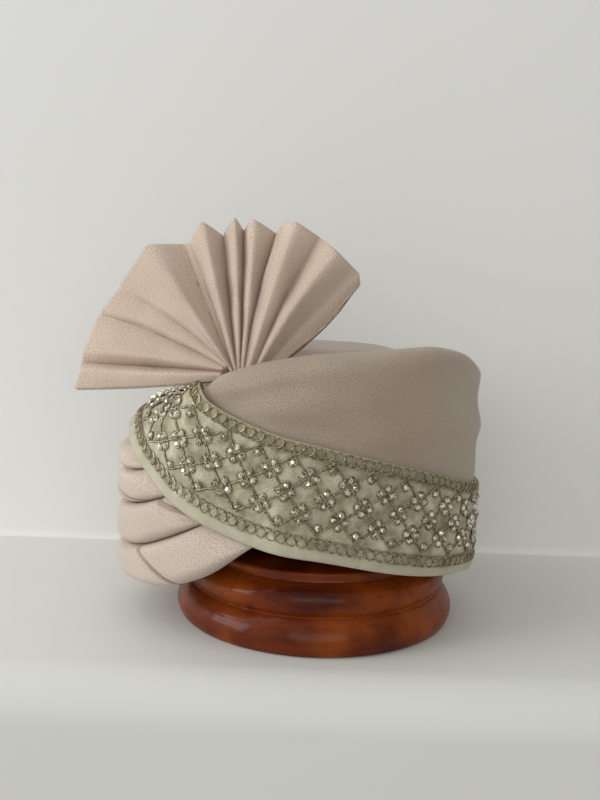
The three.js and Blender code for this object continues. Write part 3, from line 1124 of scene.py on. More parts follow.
def seated(graph: Graph, given: dict, instance: bpy.types.NodeSocket) -> bpy.types.NodeSocket:
    """Instances that stand on the guide's points, squared to the band with a little tilt.

    Args:
        graph: The tree's graph.
        given: The tree's inputs, with `Tilt` and `Seed`.
        instance: What is seated at each point.

    Returns:
        The instances.
    """
    low = graph.maths("MULTIPLY", given["Tilt"], -1.0)
    spread = graph.add("FunctionNodeRandomValue", data_type="FLOAT_VECTOR")
    for socket, bound in ((spread.inputs[0], low), (spread.inputs[1], given["Tilt"])):
        graph.feed(socket, graph.add("ShaderNodeCombineXYZ", {0: bound, 1: bound, 2: bound}).outputs[0])
    graph.feed(spread.inputs["Seed"], given["Seed"])
    facing = graph.vectors("ADD", named_vector(graph, "facing"), spread.outputs[0])
    stood = graph.add("FunctionNodeAlignRotationToVector", {"Vector": facing}, axis="Z")
    inputs = {"Rotation": stood.outputs[0], "Vector": named_vector(graph, "along")}
    turned = graph.add("FunctionNodeAlignRotationToVector", inputs, axis="X", pivot_axis="Z")
    inputs = {"Points": given["Geometry"], "Instance": instance, "Rotation": turned.outputs[0]}
    return graph.add("GeometryNodeInstanceOnPoints", inputs).outputs[0]


def seat_tree(name: str, sizes: Sequence[str], smooth: bool, shape: Callable) -> bpy.types.NodeTree:
    """A tree that seats one shape at every point of its guide.

    Args:
        name: The tree's name.
        sizes: The names of the shape's sizes.
        smooth: Whether its faces are shaded smooth.
        shape: Makes the shape, from the tree's graph and inputs.

    Returns:
        The tree.
    """
    graph, given = geometry_tree(name, (*sizes, "Tilt", "Seed"))
    return end_tree(graph, given, seated(graph, given, shape(graph, given)), smooth)


def ring_shape(graph: Graph, given: dict) -> bpy.types.NodeSocket:
    """A ring of round wire."""
    hoop = graph.add("GeometryNodeCurvePrimitiveCircle", {"Resolution": 14, "Radius": given["Radius"]})
    wire = graph.add("GeometryNodeCurvePrimitiveCircle", {"Resolution": 5, "Radius": given["Wire"]})
    inputs = {"Curve": hoop.outputs[0], "Profile Curve": wire.outputs[0]}
    return graph.add("GeometryNodeCurveToMesh", inputs).outputs[0]


def cone_shape(graph: Graph, given: dict) -> bpy.types.NodeSocket:
    """A cut cone: a stone's table inside its ring of facets, or a shallow cup."""
    inputs = {
        "Vertices": 8,
        "Radius Top": given["Table"],
        "Radius Bottom": given["Radius"],
        "Depth": given["Height"],
    }
    return graph.add("GeometryNodeMeshCone", inputs).outputs["Mesh"]


def cord_tree() -> bpy.types.NodeTree:
    """Twisted cords along the guide's lines: a flattened section that turns as it goes."""
    graph, given = geometry_tree("twisted cords", ("Radius", "Flatness", "Twist Pitch", "Step"))
    lines = graph.add("GeometryNodeMeshToCurve", {"Mesh": given["Geometry"]}).outputs[0]
    even = graph.add("GeometryNodeResampleCurve", {"Curve": lines, "Length": given["Step"]}, mode="LENGTH")
    length = graph.add("GeometryNodeSplineParameter").outputs["Length"]
    turn = graph.maths("MULTIPLY", graph.maths("DIVIDE", length, given["Twist Pitch"]), math.tau)
    tilted = graph.add("GeometryNodeSetCurveTilt", {"Curve": even.outputs[0], "Tilt": turn}).outputs[0]
    round_wire = graph.add("GeometryNodeCurvePrimitiveCircle", {"Resolution": 8, "Radius": given["Radius"]})
    squash = graph.add("ShaderNodeCombineXYZ", {0: 1.0, 1: given["Flatness"], 2: 1.0}).outputs[0]
    inputs = {"Geometry": round_wire.outputs[0], "Scale": squash}
    section = graph.add("GeometryNodeTransform", inputs).outputs[0]
    inputs = {"Curve": tilted, "Profile Curve": section, "Fill Caps": True}
    cord = graph.add("GeometryNodeCurveToMesh", inputs).outputs[0]
    return end_tree(graph, given, cord, smooth=True)


def loop_tree() -> bpy.types.NodeTree:
    """A chain of cursive loops along the guide's line, each crossing the next."""
    names = ("Loops", "Points", "Pitch", "Radius", "Hop", "Cord Radius")
    graph, given = geometry_tree("border loops", names)
    line = graph.add("GeometryNodeMeshToCurve", {"Mesh": given["Geometry"]}).outputs[0]
    count = graph.maths("MULTIPLY", given["Loops"], given["Points"])
    even = graph.add("GeometryNodeResampleCurve", {"Curve": line, "Count": count}, mode="COUNT").outputs[0]
    length = graph.add("GeometryNodeSplineParameter").outputs["Length"]
    turn = graph.maths("MULTIPLY", graph.maths("DIVIDE", length, given["Pitch"]), math.tau)
    sine, cosine = graph.maths("SINE", turn), graph.maths("COSINE", turn)
    hop = graph.maths("MULTIPLY", graph.maths("DIVIDE", given["Pitch"], math.tau), given["Hop"])
    sideways = graph.maths("MULTIPLY", sine, graph.maths("ADD", given["Radius"], hop))
    upwards = graph.maths("MULTIPLY", cosine, graph.maths("MULTIPLY", given["Radius"], -1.0))
    outwards = graph.maths("MULTIPLY", sine, given["Cord Radius"])
    tangent = graph.add("GeometryNodeInputTangent").outputs[0]
    offset = graph.scaled(tangent, sideways)
    offset = graph.vectors("ADD", offset, graph.scaled(named_vector(graph, "across"), upwards))
    offset = graph.vectors("ADD", offset, graph.scaled(named_vector(graph, "facing"), outwards))
    looped = graph.add("GeometryNodeSetPosition", {"Geometry": even, "Offset": offset}).outputs[0]
    inputs = {"Resolution": 6, "Radius": given["Cord Radius"]}
    section = graph.add("GeometryNodeCurvePrimitiveCircle", inputs).outputs[0]
    cord = graph.add("GeometryNodeCurveToMesh", {"Curve": looped, "Profile Curve": section}).outputs[0]
    return end_tree(graph, given, cord, smooth=True)


def guide(
    name: str, lines: Sequence[Array], closed: bool | None, **directions: Sequence[Array],
) -> bpy.types.Object:
    """A mesh of bare points and edges that a geometry tree follows.

    Args:
        name: The guide's name.
        lines: Rows of points in millimetres.
        closed: Whether each line closes on itself. None leaves the points unjoined.
        directions: Vectors at the points, row by row, kept as attributes.

    Returns:
        The guide.
    """
    edges, start = [], 0
    for line in lines:
        count = len(line)
        last = 0 if closed is None else count if closed else count - 1
        edges += [(start + k, start + (k + 1) % count) for k in range(last)]
        start += count
    mesh = bpy.data.meshes.new(name)
    mesh.from_pydata((np.concatenate(lines) * MM).tolist(), edges, [])
    for label, vectors in directions.items():
        attribute = mesh.attributes.new(label, "FLOAT_VECTOR", "POINT")
        attribute.data.foreach_set("vector", np.concatenate(vectors).astype(np.float32).ravel())
    made = bpy.data.objects.new(name, mesh)
    bpy.context.scene.collection.objects.link(made)
    return made


def grow(name: str, tree: bpy.types.NodeTree, path: bpy.types.Object, **inputs: object) -> bpy.types.Object:
    """Runs a geometry tree on a guide and keeps the result as a plain mesh.

    Args:
        name: The new piece's name.
        tree: The geometry tree.
        path: The guide, which is removed.
        inputs: The tree's inputs, with underscores for spaces.

    Returns:
        The piece.
    """
    modifier = path.modifiers.new("grow", "NODES")
    modifier.node_group = tree
    sockets = {item.name: item for item in tree.interface.items_tree if item.in_out == "INPUT"}
    for label, value in inputs.items():
        modifier[sockets[label.replace("_", " ").title()].identifier] = value
    graph = bpy.context.evaluated_depsgraph_get()
    mesh = bpy.data.meshes.new_from_object(path.evaluated_get(graph), depsgraph=graph)
    path.modifiers.remove(modifier)
    bpy.data.objects.remove(path)
    mesh.name = name
    for attribute in ("facing", "along", "across"):
        if attribute in mesh.attributes:
            mesh.attributes.remove(mesh.attributes[attribute])
    piece = bpy.data.objects.new(name, mesh)
    bpy.context.scene.collection.objects.link(piece)
    return piece


@dataclass(frozen=True)
class Embroidery:
    """Cords, set stones and looped borders on the band."""

    band: Band
    stone_reach: float = 3.8
    tip_reach: float = 4.3
    ring_radius: float = 2.42
    ring_wire: float = 0.55
    ring_seat: float = 0.9
    stone_radius: float = 2.1
    table_radius: float = 1.05
    stone_height: float = 1.6
    cup_radius: float = 2.5
    cup_height: float = 0.5
    tilt: float = 0.2
    seed: int = 5
    cord_radius: float = 0.9
    cord_flatness: float = 0.6
    cord_step: float = 0.45
    twist_pitch: float = 2.8
    wobble: float = 0.55
    wobble_size: float = 13.0
    loop_pitch: float = 6.2
    loop_radius: float = 3.3
    loop_hop: float = 0.82
    loop_cord: float = 0.52
    loop_points: float = 22.0

    def step(self) -> float:
        """The length of one repeat of the lattice."""
        return self.band.length / self.band.layout.repeats

    def cords(self) -> list[tuple[Array, Array]]:
        """The lattice's slanting lines as places along and across the band."""
        layout = self.band.layout
        height = np.linspace(0, 1, 61)
        lines = []
        for number in range(layout.repeats):
            start = layout.phase + number * self.step()
            for way in (1, -1):
                run = start + way * self.step() * layout.rows / 2 * height
                stray = self.wobble * ripple(run, height * self.band.cut_width, self.wobble_size, 17)
                lines.append((run + stray, layout.share(height)))
        return lines

    def stones(self) -> tuple[Array, Array]:
        """Where the stones sit: four round each crossing, and one inside each tip of the lattice."""
        layout, reach = self.band.layout, self.stone_reach
        runs, shares = [], []
        for number in range(layout.repeats):
            for row in range(layout.rows + 1):
                run = layout.phase + (number + row / 2) * self.step()
                places = [(reach, 0.0), (-reach, 0.0), (0.0, reach), (0.0, -reach)]
                if row in (0, layout.rows):
                    places = [(0.0, self.tip_reach if row == 0 else -self.tip_reach)]
                runs += [run + along for along, _ in places]
                rise = [across / self.band.cut_width for _, across in places]
                shares += [layout.share(row / layout.rows) + part for part in rise]
        return np.array(runs), np.array(shares)

    def build(self, thread: bpy.types.Material, cup: bpy.types.Material, stone: bpy.types.Material) -> None:
        """Makes and dresses every piece of the embroidery.

        Args:
            thread: The cords' metal.
            cup: The cups' darker metal.
            stone: The stones' glass.
        """
        settle(self.lattice(thread), Slot.THREAD)
        layout = self.band.layout
        for side, share, way in (("low", layout.low_loops, -1), ("high", layout.high_loops, 1)):
            settle(self.loops(f"embroidery_loops_{side}", thread, share, way), Slot.THREAD)
        ring = seat_tree("stone rings", ("Radius", "Wire"), True, ring_shape)
        cone = seat_tree("cut cones", ("Radius", "Table", "Height"), False, cone_shape)
        sizes = {"radius": self.ring_radius * MM, "wire": self.ring_wire * MM}
        proud = self.ring_wire * self.ring_seat
        settle(self.seat("embroidery_stone_rings", ring, proud, thread, sizes), Slot.THREAD)
        cup_sizes = (self.cup_radius, self.cup_radius, self.cup_height)
        stone_sizes = (self.stone_radius, self.table_radius, self.stone_height)
        cones = (
            ("embroidery_stone_cups", 0.0, cup, Slot.THREAD, cup_sizes),
            ("embroidery_stones", self.cup_height, stone, Slot.STONE, stone_sizes),
        )
        for name, proud, material, slot, lengths in cones:
            sizes = {label: length * MM for label, length in zip(("radius", "table", "height"), lengths)}
            settle(self.seat(name, cone, proud, material, sizes), slot)

    def lattice(self, thread: bpy.types.Material) -> bpy.types.Object:
        """The diamond lattice of twisted cord."""
        proud = self.cord_radius * self.cord_flatness
        lines = [self.band.point(run, share, proud) for run, share in self.cords()]
        path = guide("lattice lines", lines, closed=False)
        return grow(
            "embroidery_lattice_cords", cord_tree(), path, material=thread, radius=self.cord_radius * MM,
            flatness=self.cord_flatness, twist_pitch=self.twist_pitch * MM, step=self.cord_step * MM,
        )

    def seat(
        self, name: str, tree: bpy.types.NodeTree, proud: float, material: bpy.types.Material, sizes: dict,
    ) -> bpy.types.Object:
        """One part of every stone's setting.

        Args:
            name: The piece's name.
            tree: The tree that seats its shape.
            proud: How far off the silk the shape's foot or middle lies.
            material: Its material.
            sizes: The shape's sizes, in metres.

        Returns:
            The piece.
        """
        runs, shares = self.stones()
        places, along, _, facing = self.band.frame_at(runs, shares, proud)
        path = guide("stone seats", [places], None, along=[along], facing=[facing])
        return grow(name, tree, path, material=material, tilt=self.tilt, seed=float(self.seed), **sizes)

    def loops(self, name: str, thread: bpy.types.Material, share: float, way: int) -> bpy.types.Object:
        """A chain of loops along the band, joined on the side towards the lattice.

        Args:
            name: The piece's name.
            thread: The cord's metal.
            share: How far across the band the chain runs.
            way: 1 where the lattice lies below the chain and -1 where it lies above.

        Returns:
            The piece.
        """
        run = np.arange(0, self.band.length, 1.0)
        places, _, across, facing = self.band.frame_at(run, np.full_like(run, share), self.loop_cord)
        steps = np.linalg.norm(np.diff(np.vstack([places, places[:1]]), axis=0), axis=1)
        length = float(steps.sum())
        count = round(length / self.loop_pitch)
        path = guide("loop line", [places], True, across=[across * way], facing=[facing])
        return grow(
            name, loop_tree(), path, material=thread, loops=float(count), points=self.loop_points,
            pitch=length / count * MM, radius=self.loop_radius * MM, hop=self.loop_hop,
            cord_radius=self.loop_cord * MM,
        )


@dataclass(frozen=True)
class Rolls:
    """The padded rolls that cross below the brow, with their ends tucked under the band."""

    wall: Wall
    depth: float = 11.0
    seat: float = 0.65
    tucked: float = 1.5
    tuck_from: float = -6.0
    tuck_to: float = 14.0
    squareness: float = 4.0
    gap: float = 0.4
    step: float = 1.4
    lap: tuple[float, float] = (1.3, 0.3)
    dip: tuple[float, float] = (5.0, 0.7)
    lip: tuple[float, float] = (3.4, 0.7)
    lip_depth: float = 0.8
    wrinkle: float = 0.35
    wrinkle_size: float = 7.0
    pulled: tuple[float, float] = (34.0, 6.0)
    soft: float = 0.5
    soft_size: float = 30.0
    fill: float = 0.7

    def length(
        self, name: str, row: RollRow, start: Array, end: Array, seam: str | None,
    ) -> bpy.types.Object:
        """One length of a roll between two seams.

        Args:
            name: The piece's name.
            row: The roll's row.
            start: The angle of its first seam at its foot and top.
            end: The angle of its last seam at its foot and top.
            seam: Which of the two is a crossing, if either.

        Returns:
            The piece.
        """
        steps = int(abs(np.mean(end) - np.mean(start)) / self.step) + 8
        share = np.linspace(0, 1, steps)
        share = share * share * (3 - 2 * share) if seam else share
        turn = np.linspace(-math.pi / 2, math.pi / 2, 45)
        outer = np.sign(np.sin(turn)) * np.abs(np.sin(turn)) ** 0.8
        back = np.linspace(1, -1, 12)[1:-1]
        place = np.concatenate([outer, back])[None]
        bulge = np.sqrt(np.clip(1 - np.abs(place) ** self.squareness, 0, 1))
        bulge[:, len(outer):] = 0
        rise = (place + 1) / 2
        angle = lerp(lerp(start[0], start[1], rise), lerp(end[0], end[1], rise), share[:, None])
        away = from_brow(angle)
        below = look_up(CREASES, row.below, away) + self.gap / 2
        above = look_up(CREASES, row.above, away) - self.gap / 2
        up = lerp(below, above, rise)
        shown = smoothstep(self.wall.column("low", angle) - up, self.tuck_from, self.tuck_to)
        angles, arc = self.wall.arc()
        along = np.interp(angle, angles, arc)
        lift = bulge * lerp(self.tucked, self.depth, shown)
        if seam:
            middle = lerp(*(start if seam == "start" else end), rise)
            from_seam = np.abs(along - np.interp(middle, angles, arc))
            over = seam == "end"
            reach, depth = self.lap if over else self.dip
            lift = lift * (1 - depth * np.clip(1 - from_seam / reach, 0, 1) ** 2)
            place_of_lip, width_of_lip = self.lip
            groove = np.exp(-(((from_seam - place_of_lip) / width_of_lip) ** 2))
            lift = lift - self.lip_depth * over * bulge * groove
        pull = smoothstep(away, row.end - self.pulled[0], row.end - self.pulled[1]) * shown
        folds = ripple(along * 0.25 + up * 0.2, up, self.wrinkle_size, len(name)) * pull
        soft = self.soft * ripple(along, up, self.soft_size, 21 + len(name))
        lift = lift + bulge * shown * (self.wrinkle * folds + soft)
        points = self.wall.point(angle, up, self.seat + lift)
        closed = np.concatenate([points, points[:, :1]], 1)
        across = np.cumsum(np.linalg.norm(np.diff(closed, axis=1), axis=-1), 1)
        across = np.concatenate([np.zeros((steps, 1)), across], 1)
        length = np.concatenate([along, along[:, :1]], 1)
        return skin(name, points, np.stack([length, across], -1) * MM)

    def build(self) -> dict[str, bpy.types.Object]:
        """Every length of roll, by the name of the solid that it stands for."""
        made = {}
        for row in ROLL_ROWS:
            far = np.array([180 - row.end] * 2)
            near = np.array([180 + row.end] * 2)
            if row.cross_top is None:
                made[row.name] = self.length(f"turban_{row.name}", row, far, near, None)
                continue
            slack = self.gap / 4
            seam = 180 + np.array([row.cross_foot, row.cross_top])
            near_name, far_name = f"{row.name}_near", f"{row.name}_far"
            made[near_name] = self.length(f"turban_{near_name}", row, seam + slack, near, "start")
            made[far_name] = self.length(f"turban_{far_name}", row, far, seam - slack, "end")
        return made

    def dress(self, made: dict[str, bpy.types.Object], material: bpy.types.Material) -> None:
        """Gives the rolls their cloth and rides them on the body in place of their solids."""
        for node, piece in made.items():
            piece.data.materials.append(material)
            settle(piece, Slot.SATIN, node)


@dataclass(frozen=True)
class Fan:
    """The standing fan: one sheet folded along the rows of FOLD_ROWS and gathered at its base."""

    base: tuple[float, float, float] = (-45.0, -61.0, 169.0)
    turn: float = -10.0
    lean: float = 8.0
    thickness: float = 1.5
    gather: float = 0.3
    swell: float = 0.35
    swell_size: float = 34.0
    fold_spacing: float = 8.0
    fold_length: float = 90.0
    pucker_fade: float = 0.15
    across_steps: int = 10
    along_steps: int = 52
    flat: tuple[float, float] = (0.242, 0.095)

    def axes(self) -> tuple[Array, Array, Array]:
        """Unit vectors along the fan's plane, up it and out of it."""
        turn, lean = math.radians(self.turn), math.radians(self.lean)
        along = np.array([math.cos(turn), math.sin(turn), 0.0])
        level = np.array([math.sin(turn), -math.cos(turn), 0.0])
        up = np.array([0.0, 0.0, math.cos(lean)]) - level * math.sin(lean)
        return along, up, np.cross(along, up)

    def ease(self, kinds: tuple[Fold, Fold], share: Array) -> Array:
        """How the depth runs from one fold to the next: round at a ridge, sharp in a valley."""
        rounded = [kind in (Fold.RIDGE, Fold.FACE) for kind in kinds]
        if all(rounded):
            return share * share * (3 - 2 * share)
        if rounded[0]:
            return 1 - np.cos(share * math.pi / 2)
        if rounded[1]:
            return np.sin(share * math.pi / 2)
        return share

    def line(self, row: FoldRow) -> tuple[Array, Array]:
        """A fold line in the fan's plane, and its depth, from its base to its outer end."""
        along, up, _ = self.axes()
        reach = np.linspace(0, 1, self.along_steps)[:, None]
        cosine, sine = math.cos(math.radians(row.angle)), math.sin(math.radians(row.angle))
        run, bend = row.length * reach, 4 * row.bow * reach * (1 - reach)
        flat = along * (row.along + run * cosine - bend * sine) + up * (row.up + run * sine + bend * cosine)
        start = self.gather * row.middle * (1 - reach) * (1 - 2 * reach)
        return flat, start + row.middle * 4 * reach * (1 - reach) + row.depth * reach * (2 * reach - 1)

    def middle(self) -> tuple[Array, Array]:
        """The sheet's middle surface, with each column's place among the folds.

        Returns:
            Columns by points by three, and the place of each column.
        """
        out = self.axes()[2]
        columns, places = [], []
        for number in range(len(FOLD_ROWS) - 1):
            first, second = FOLD_ROWS[number:number + 2]
            last = number == len(FOLD_ROWS) - 2
            shares = np.linspace(0, 1, self.across_steps + 1)[: None if last else -1]
            (first_line, first_depth), (second_line, second_depth) = self.line(first), self.line(second)
            for share, eased in zip(shares, self.ease((first.kind, second.kind), shares)):
                depth = lerp(first_depth, second_depth, eased)
                columns.append(lerp(first_line, second_line, share) + out * depth)
                places.append(number + share)
        return np.array(self.base) + np.stack(columns), np.array(places)

    def build(self) -> bpy.types.Object:
        """The fan as a closed sheet with the puckers of handled cloth."""
        middle, place = self.middle()
        reach = np.linspace(0, 1, self.along_steps)[None]
        sideways, lengthways = np.gradient(middle, axis=0), np.gradient(middle, axis=1)
        normal = unit(np.cross(sideways, lengthways))
        waves = ripple(place[:, None] * self.fold_spacing, reach * self.fold_length, self.swell_size, 13)
        press = self.swell * smoothstep(reach, 0.1, 0.5) * waves
        for row in PUCKERS:
            near = np.exp(-(((place[:, None] - row.place) / row.width) ** 2))
            window = smoothstep(reach, row.start, row.start + self.pucker_fade)
            window = window * (1 - smoothstep(reach, row.end - self.pucker_fade, row.end))
            press = press + row.depth * near * window
        middle = middle + normal * press[..., None]
        half = self.thickness / 2
        front, back = middle + normal * half, middle - normal * half
        points = np.concatenate([front, back[:, ::-1]], 1)
        spread = np.cumsum(np.linalg.norm(np.diff(middle[:, -1], axis=0), axis=1))
        across = np.concatenate([[0.0], spread])[:, None]
        length = np.concatenate([reach, reach[:, ::-1], reach[:, :1]], 1) * self.flat[1]
        cloth = np.stack(np.broadcast_arrays(across * MM, length), -1)
        return skin("turban_fan", points, cloth)

    def dress(self, piece: bpy.types.Object, material: bpy.types.Material) -> None:
        """Gives the fan its cloth and rides it on the body in place of its solid."""
        piece.data.materials.append(material)
        settle(piece, Slot.SATIN, "fan")


@dataclass(frozen=True)
class Stand:
    """The turned stand: a foot, a ring and a tier, with a post and a pad inside the turban."""

    foot_radius: float = 91.0
    foot_bulge: float = 97.5
    foot_top: tuple[float, float] = (86.5, 22.5)
    groove: tuple[float, float] = (85.5, 24.0)
    ring_bulge: float = 92.0
    ring_top: tuple[float, float] = (81.5, 42.0)
    ring_height: float = 0.6
    tier_foot: tuple[float, float] = (79.3, 43.6)
    tier_edge: tuple[float, float] = (78.8, 47.4)
    tier_brim: tuple[float, float] = (76.8, 49.5)
    tier_top: tuple[float, float] = (66.0, 51.5)
    post_radius: float = 16.5
    post_from: float = 82.0
    post_to: float = 158.0
    pad_radius: float = 28.0
    pad_thickness: float = 8.0
    pad_top: float = 179.1
    pad_edge: float = 2.0
    sides: int = 160
    curve_steps: int = 14
    crisp_angle: float = 50.0

    def profile(self) -> Array:
        """The turned outline, as radius and height from the foot's middle to the pad's."""
        pad_foot = self.pad_top - self.pad_thickness
        ring_middle = lerp(self.groove[1], self.ring_top[1], self.ring_height)
        tier_middle = lerp(self.tier_foot[1], self.tier_edge[1], 0.5)
        foot_flat = (self.foot_radius - 2, 0.0)
        foot_edge = (self.foot_radius + 0.6, 1.5)
        curves = (
            ((0.0, 0.0), None, foot_flat),
            (foot_flat, (self.foot_radius - 0.5, 0.0), foot_edge),
            (foot_edge, (self.foot_bulge, self.foot_top[1] / 2), self.foot_top),
            (self.foot_top, (self.groove[0] - 0.6, self.groove[1] - 0.6), self.groove),
            (self.groove, (self.ring_bulge, ring_middle), self.ring_top),
            (self.ring_top, (self.ring_top[0] - 1.2, self.ring_top[1] + 1.2), self.tier_foot),
            (self.tier_foot, (self.tier_edge[0] - 0.4, tier_middle), self.tier_edge),
            (self.tier_edge, (self.tier_edge[0], self.tier_brim[1]), self.tier_brim),
            (self.tier_brim, (self.tier_brim[0] - 5, self.tier_brim[1] + 0.6), self.tier_top),
            (self.tier_top, (self.post_radius, self.tier_top[1]), (self.post_radius, self.post_from)),
            ((self.post_radius, self.post_from), None, (self.post_radius, self.post_to)),
            ((self.post_radius, self.post_to), (self.post_radius, pad_foot), (self.pad_radius, pad_foot)),
            ((self.pad_radius, pad_foot), None, (self.pad_radius, self.pad_top - self.pad_edge)),
            (
                (self.pad_radius, self.pad_top - self.pad_edge),
                (self.pad_radius, self.pad_top),
                (self.pad_radius - self.pad_edge, self.pad_top),
            ),
            ((self.pad_radius - self.pad_edge, self.pad_top), None, (0.0, self.pad_top)),
        )
        outline = []
        share = np.linspace(0, 1, self.curve_steps, endpoint=False)[:, None]
        for start, control, end in curves:
            first, last = np.array(start), np.array(end)
            if control is None:
                outline.append(first[None])
                continue
            pull = np.array(control)
            outline.append(first * (1 - share) ** 2 + 2 * pull * share * (1 - share) + last * share**2)
        return np.concatenate(outline)[1:]

    def build(self) -> bpy.types.Object:
        """The stand as one turned solid."""
        outline = self.profile()
        turn = np.arange(self.sides) * math.tau / self.sides
        radius, height = outline[:, :1], outline[:, 1:]
        axes = np.broadcast_arrays(radius * np.cos(turn), radius * np.sin(turn), height)
        points = np.stack(axes, -1)
        closed = np.concatenate([points, points[:, :1]], 1)
        return skin("turned_stand", points, closed[..., :2] * MM)

    def dress(self, piece: bpy.types.Object, material: bpy.types.Material) -> None:
        """Gives the stand its varnished wood."""
        piece.data.materials.append(material)
        piece.data.set_sharp_from_angle(angle=math.radians(self.crisp_angle))
        settle(piece, Slot.WOOD, "stand")


class Lamp(NamedTuple):
    """One soft area light, in metres and watts."""

    name: str
    place: tuple[float, float, float]
    size: tuple[float, float]
    power: float
    colour: Colour


LAMPS = (
    Lamp("window", (-1.9, -0.6, 0.7), (1.2, 1.0), 15.0, (0.98, 0.99, 1.0)),
    Lamp("skylight", (-1.25, -0.4, 1.7), (1.2, 1.2), 5.5, (0.98, 0.99, 1.0)),
    Lamp("doorway", (0.1, -2.0, 0.8), (1.7, 1.0), 6.5, (1.0, 0.985, 0.96)),
)


@dataclass(frozen=True)
class Studio:
    """The white shelf and wall, the window's light and the camera."""

    eye: tuple[float, float, float] = (-14.5, -666.0, 246.0)
    pitch: float = 8.7
    roll: float = 2.09
    lens: float = 45.0
    sensor: float = 36.0
    wall_behind: float = 142.0
    wall_height: float = 1900.0
    shelf_front: float = -104.0
    shelf_drop: float = 900.0
    edge_radius: float = 30.0
    corner_radius: float = 5.0
    half_width: float = 2300.0
    behind: float = 1500.0
    wall_paint: Colour = (0.87, 0.87, 0.85)
    shelf_paint: Colour = (0.77, 0.77, 0.74)
    aim: tuple[float, float, float] = (-0.01, 0.0, 0.13)
    air_left: Colour = (0.68, 0.68, 0.665)
    air_right: Colour = (0.29, 0.285, 0.27)

    def camera(self) -> None:
        """The camera where the photograph was taken from."""
        pitch, roll = math.radians(self.pitch), math.radians(self.roll)
        right = Vector((1, 0, 0))
        up = Vector((0, math.sin(pitch), math.cos(pitch)))
        ahead = Vector((0, math.cos(pitch), -math.sin(pitch)))
        level = right * math.cos(roll) + up * math.sin(roll)
        upright = up * math.cos(roll) - right * math.sin(roll)
        data = bpy.data.cameras.new("camera")
        data.lens, data.sensor_width = self.lens, self.sensor
        data.clip_start = 0.01
        placed = bpy.data.objects.new("camera", data)
        turned = Matrix((level, upright, -ahead)).transposed().to_4x4()
        placed.matrix_world = Matrix.Translation(Vector(self.eye) * MM) @ turned
        bpy.context.scene.collection.objects.link(placed)
        bpy.context.scene.camera = placed

    def paint(self, name: str, colour: Colour) -> bpy.types.Material:
        """White paint that is seen from its face alone, so that the wall hides nothing from behind."""
        material, graph, shader = new_material(name)
        place = graph.add("ShaderNodeTexCoord").outputs["Object"]
        tone = graph.remap(graph.noise(place, 1.4, 2.0), (0.3, 0.7), (0.0, 1.0))
        darker = tuple(0.96 * part for part in colour)
        graph.feed(shader.inputs["Base Color"], graph.mix(tone, darker, colour))
        shader.inputs["Roughness"].default_value = 0.6
        back = graph.add("ShaderNodeNewGeometry").outputs["Backfacing"]
        clear = graph.add("ShaderNodeBsdfTransparent").outputs[0]
        mixed = graph.add("ShaderNodeMixShader", {0: back, 1: shader.outputs[0], 2: clear})
        graph.feed(material.node_tree.nodes["Material Output"].inputs["Surface"], mixed.outputs[0])
        return material

    def backdrop(self) -> None:
        """The shelf's rounded front and its top, the wall behind, and a floor beyond the wall."""
        bend = np.linspace(0, math.pi / 2, 10)
        edge, corner, wall = self.edge_radius, self.corner_radius, self.wall_behind
        front = np.stack([self.shelf_front - edge * np.cos(bend), edge * (np.sin(bend) - 1)], -1)
        inner = np.stack([wall - corner * (1 - np.sin(bend)), corner * (1 - np.cos(bend))], -1)
        foot = [[self.shelf_front - edge, -self.shelf_drop]]
        shelf = self.paint("shelf paint", self.shelf_paint)
        plaster = self.paint("wall paint", self.wall_paint)
        sheets = {
            "studio_shelf": (np.concatenate([foot, front, inner[:1]]), shelf),
            "studio_wall": (np.concatenate([inner, [[wall, self.wall_height]]]), plaster),
            "studio_floor": (np.array([[wall, 0.0], [wall + self.behind, 0.0]]), shelf),
        }
        for name, (line, material) in sheets.items():
            count = len(line)
            ends = [np.insert(line, 0, side * self.half_width, axis=1) for side in (-1, 1)]
            faces = [[k, count + k, count + k + 1, k + 1] for k in range(count - 1)]
            mesh = bpy.data.meshes.new(name)
            mesh.from_pydata((np.concatenate(ends) * MM).tolist(), [], faces)
            mesh.shade_smooth()
            mesh.materials.append(material)
            made = bpy.data.objects.new(name, mesh)
            bpy.context.scene.collection.objects.link(made)

    def light(self) -> None:
        """The room's lamps, as soft area lights aimed at the turban."""
        for lamp in LAMPS:
            data = bpy.data.lights.new(lamp.name, "AREA")
            data.shape = "RECTANGLE"
            data.size, data.size_y = lamp.size
            data.energy, data.color = lamp.power, lamp.colour
            placed = bpy.data.objects.new(lamp.name, data)
            placed.location = Vector(lamp.place)
            placed.rotation_euler = (Vector(self.aim) - placed.location).to_track_quat("-Z", "Y").to_euler()
            bpy.context.scene.collection.objects.link(placed)

    def world(self) -> None:
        """The room's own light, brighter on the window's side."""
        room = bpy.data.worlds.new("room")
        room.use_nodes = True
        graph = Graph(room.node_tree)
        way = graph.add("ShaderNodeTexCoord").outputs["Generated"]
        across = graph.add("ShaderNodeSeparateXYZ", {0: way}).outputs["X"]
        share = graph.remap(across, (-1.0, 1.0), (0.0, 1.0))
        air = graph.mix(share, self.air_left, self.air_right)
        graph.feed(room.node_tree.nodes["Background"].inputs["Color"], air)
        bpy.context.scene.world = room

    def build(self) -> None:
        """The whole studio."""
        self.camera()
        self.backdrop()
        self.light()
        self.world()
        bpy.context.scene.view_settings.view_transform = "Standard"
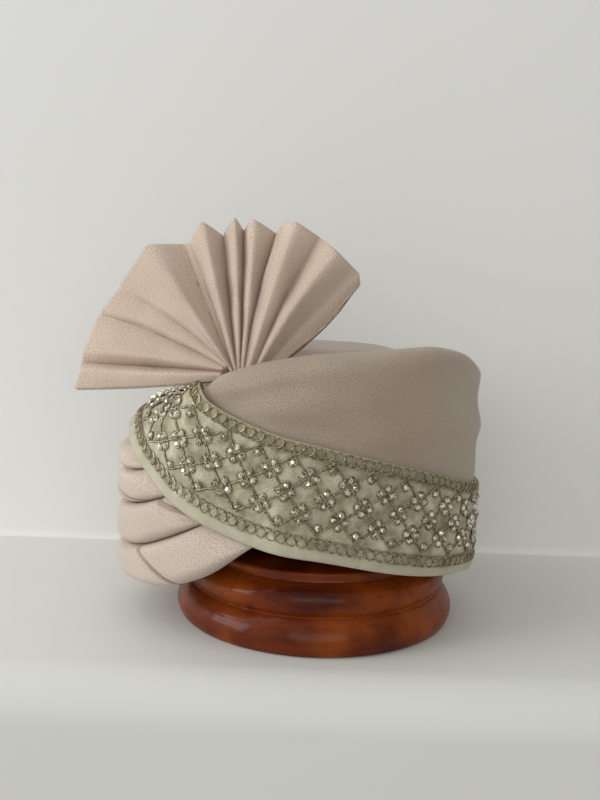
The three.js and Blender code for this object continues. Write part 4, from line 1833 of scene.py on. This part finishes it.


# One satin in three brightnesses: this one on the crown and the cap, and lighter copies on the rolls and
# the fan.
SATIN = ClothFinish(
    name="champagne satin", pale=(0.475, 0.38, 0.288), deep=(0.43, 0.337, 0.25), fleck_sparkle=0.24,
    fleck_metal=0.65, matt=0.46, bright=0.3, thread_pitch=0.42, fleck_size=0.85, tone_size=40.0,
    sheen=0.3, relief=0.55,
)
# Painted light: the rolls' satin is painted lighter than the crown's, standing in for its sheen where it
# faces the lamps.
ROLL_SATIN_PAINTED_LIGHTER = replace(
    SATIN, name="champagne satin on rolls", pale=(0.70, 0.58, 0.48), deep=(0.645, 0.528, 0.43),
)
# Painted light: the fan's satin is painted lighter still, standing in for the bright sheen on its pleats.
FAN_SATIN_PAINTED_LIGHTER = replace(
    SATIN, name="champagne satin on pleats", pale=(0.78, 0.63, 0.51), deep=(0.71, 0.56, 0.445),
)
# The silk's strong pale-to-deep mottle is partly its own uneven tone and partly painted sheen, standing in
# for light on its puckers.
SILK = BandFinish(
    name="sage silk", pale=(0.70, 0.655, 0.48), deep=(0.22, 0.185, 0.09), fleck_sparkle=0.22,
    fleck_metal=0.35, matt=0.5, bright=0.34, thread_pitch=0.5, fleck_size=0.9, tone_size=14.0,
    sheen=0.2, relief=0.5,
)
WOOD = WoodFinish(
    name="varnished mahogany", light=(0.34, 0.072, 0.005), middle=(0.175, 0.027, 0.002),
    dark=(0.06, 0.007, 0.001),
)
THREAD = MetalFinish("antique silver thread", (0.52, 0.455, 0.32), (0.17, 0.135, 0.075), 0.28, 0.46, 1.6)
CUP = MetalFinish("dark silver cups", (0.16, 0.13, 0.08), (0.06, 0.045, 0.03), 0.3, 0.5, 2.5)
# The stones' bright and dark colours are painted glints and painted dark reflections on their facets.
STONE = StoneFinish("foiled clear stones", (0.9, 0.84, 0.72), (0.2, 0.165, 0.11), 1.0)


def main() -> None:
    """Builds and dresses the turban and its stand, piece by piece."""
    logging.basicConfig(level=logging.INFO, format="%(name)s %(message)s")
    Studio().build()
    weave = woven_cloth()
    wall = Wall()
    stand = Stand()
    stand.dress(stand.build(), WOOD.material())
    satin = SATIN.material(weave)
    for crown in (CrownWrap(wall), CrownCap(wall)):
        crown.dress(crown.build(), satin)
    fan = Fan()
    fan.dress(fan.build(), FAN_SATIN_PAINTED_LIGHTER.material(weave))
    rolls = Rolls(wall)
    rolls.dress(rolls.build(), ROLL_SATIN_PAINTED_LIGHTER.material(weave))
    band = Band(wall, Layout())
    band.dress(band.build(), SILK.material(weave))
    Embroidery(band).build(THREAD.material(), CUP.material(), STONE.material())


if __name__ == "__main__":
    main()
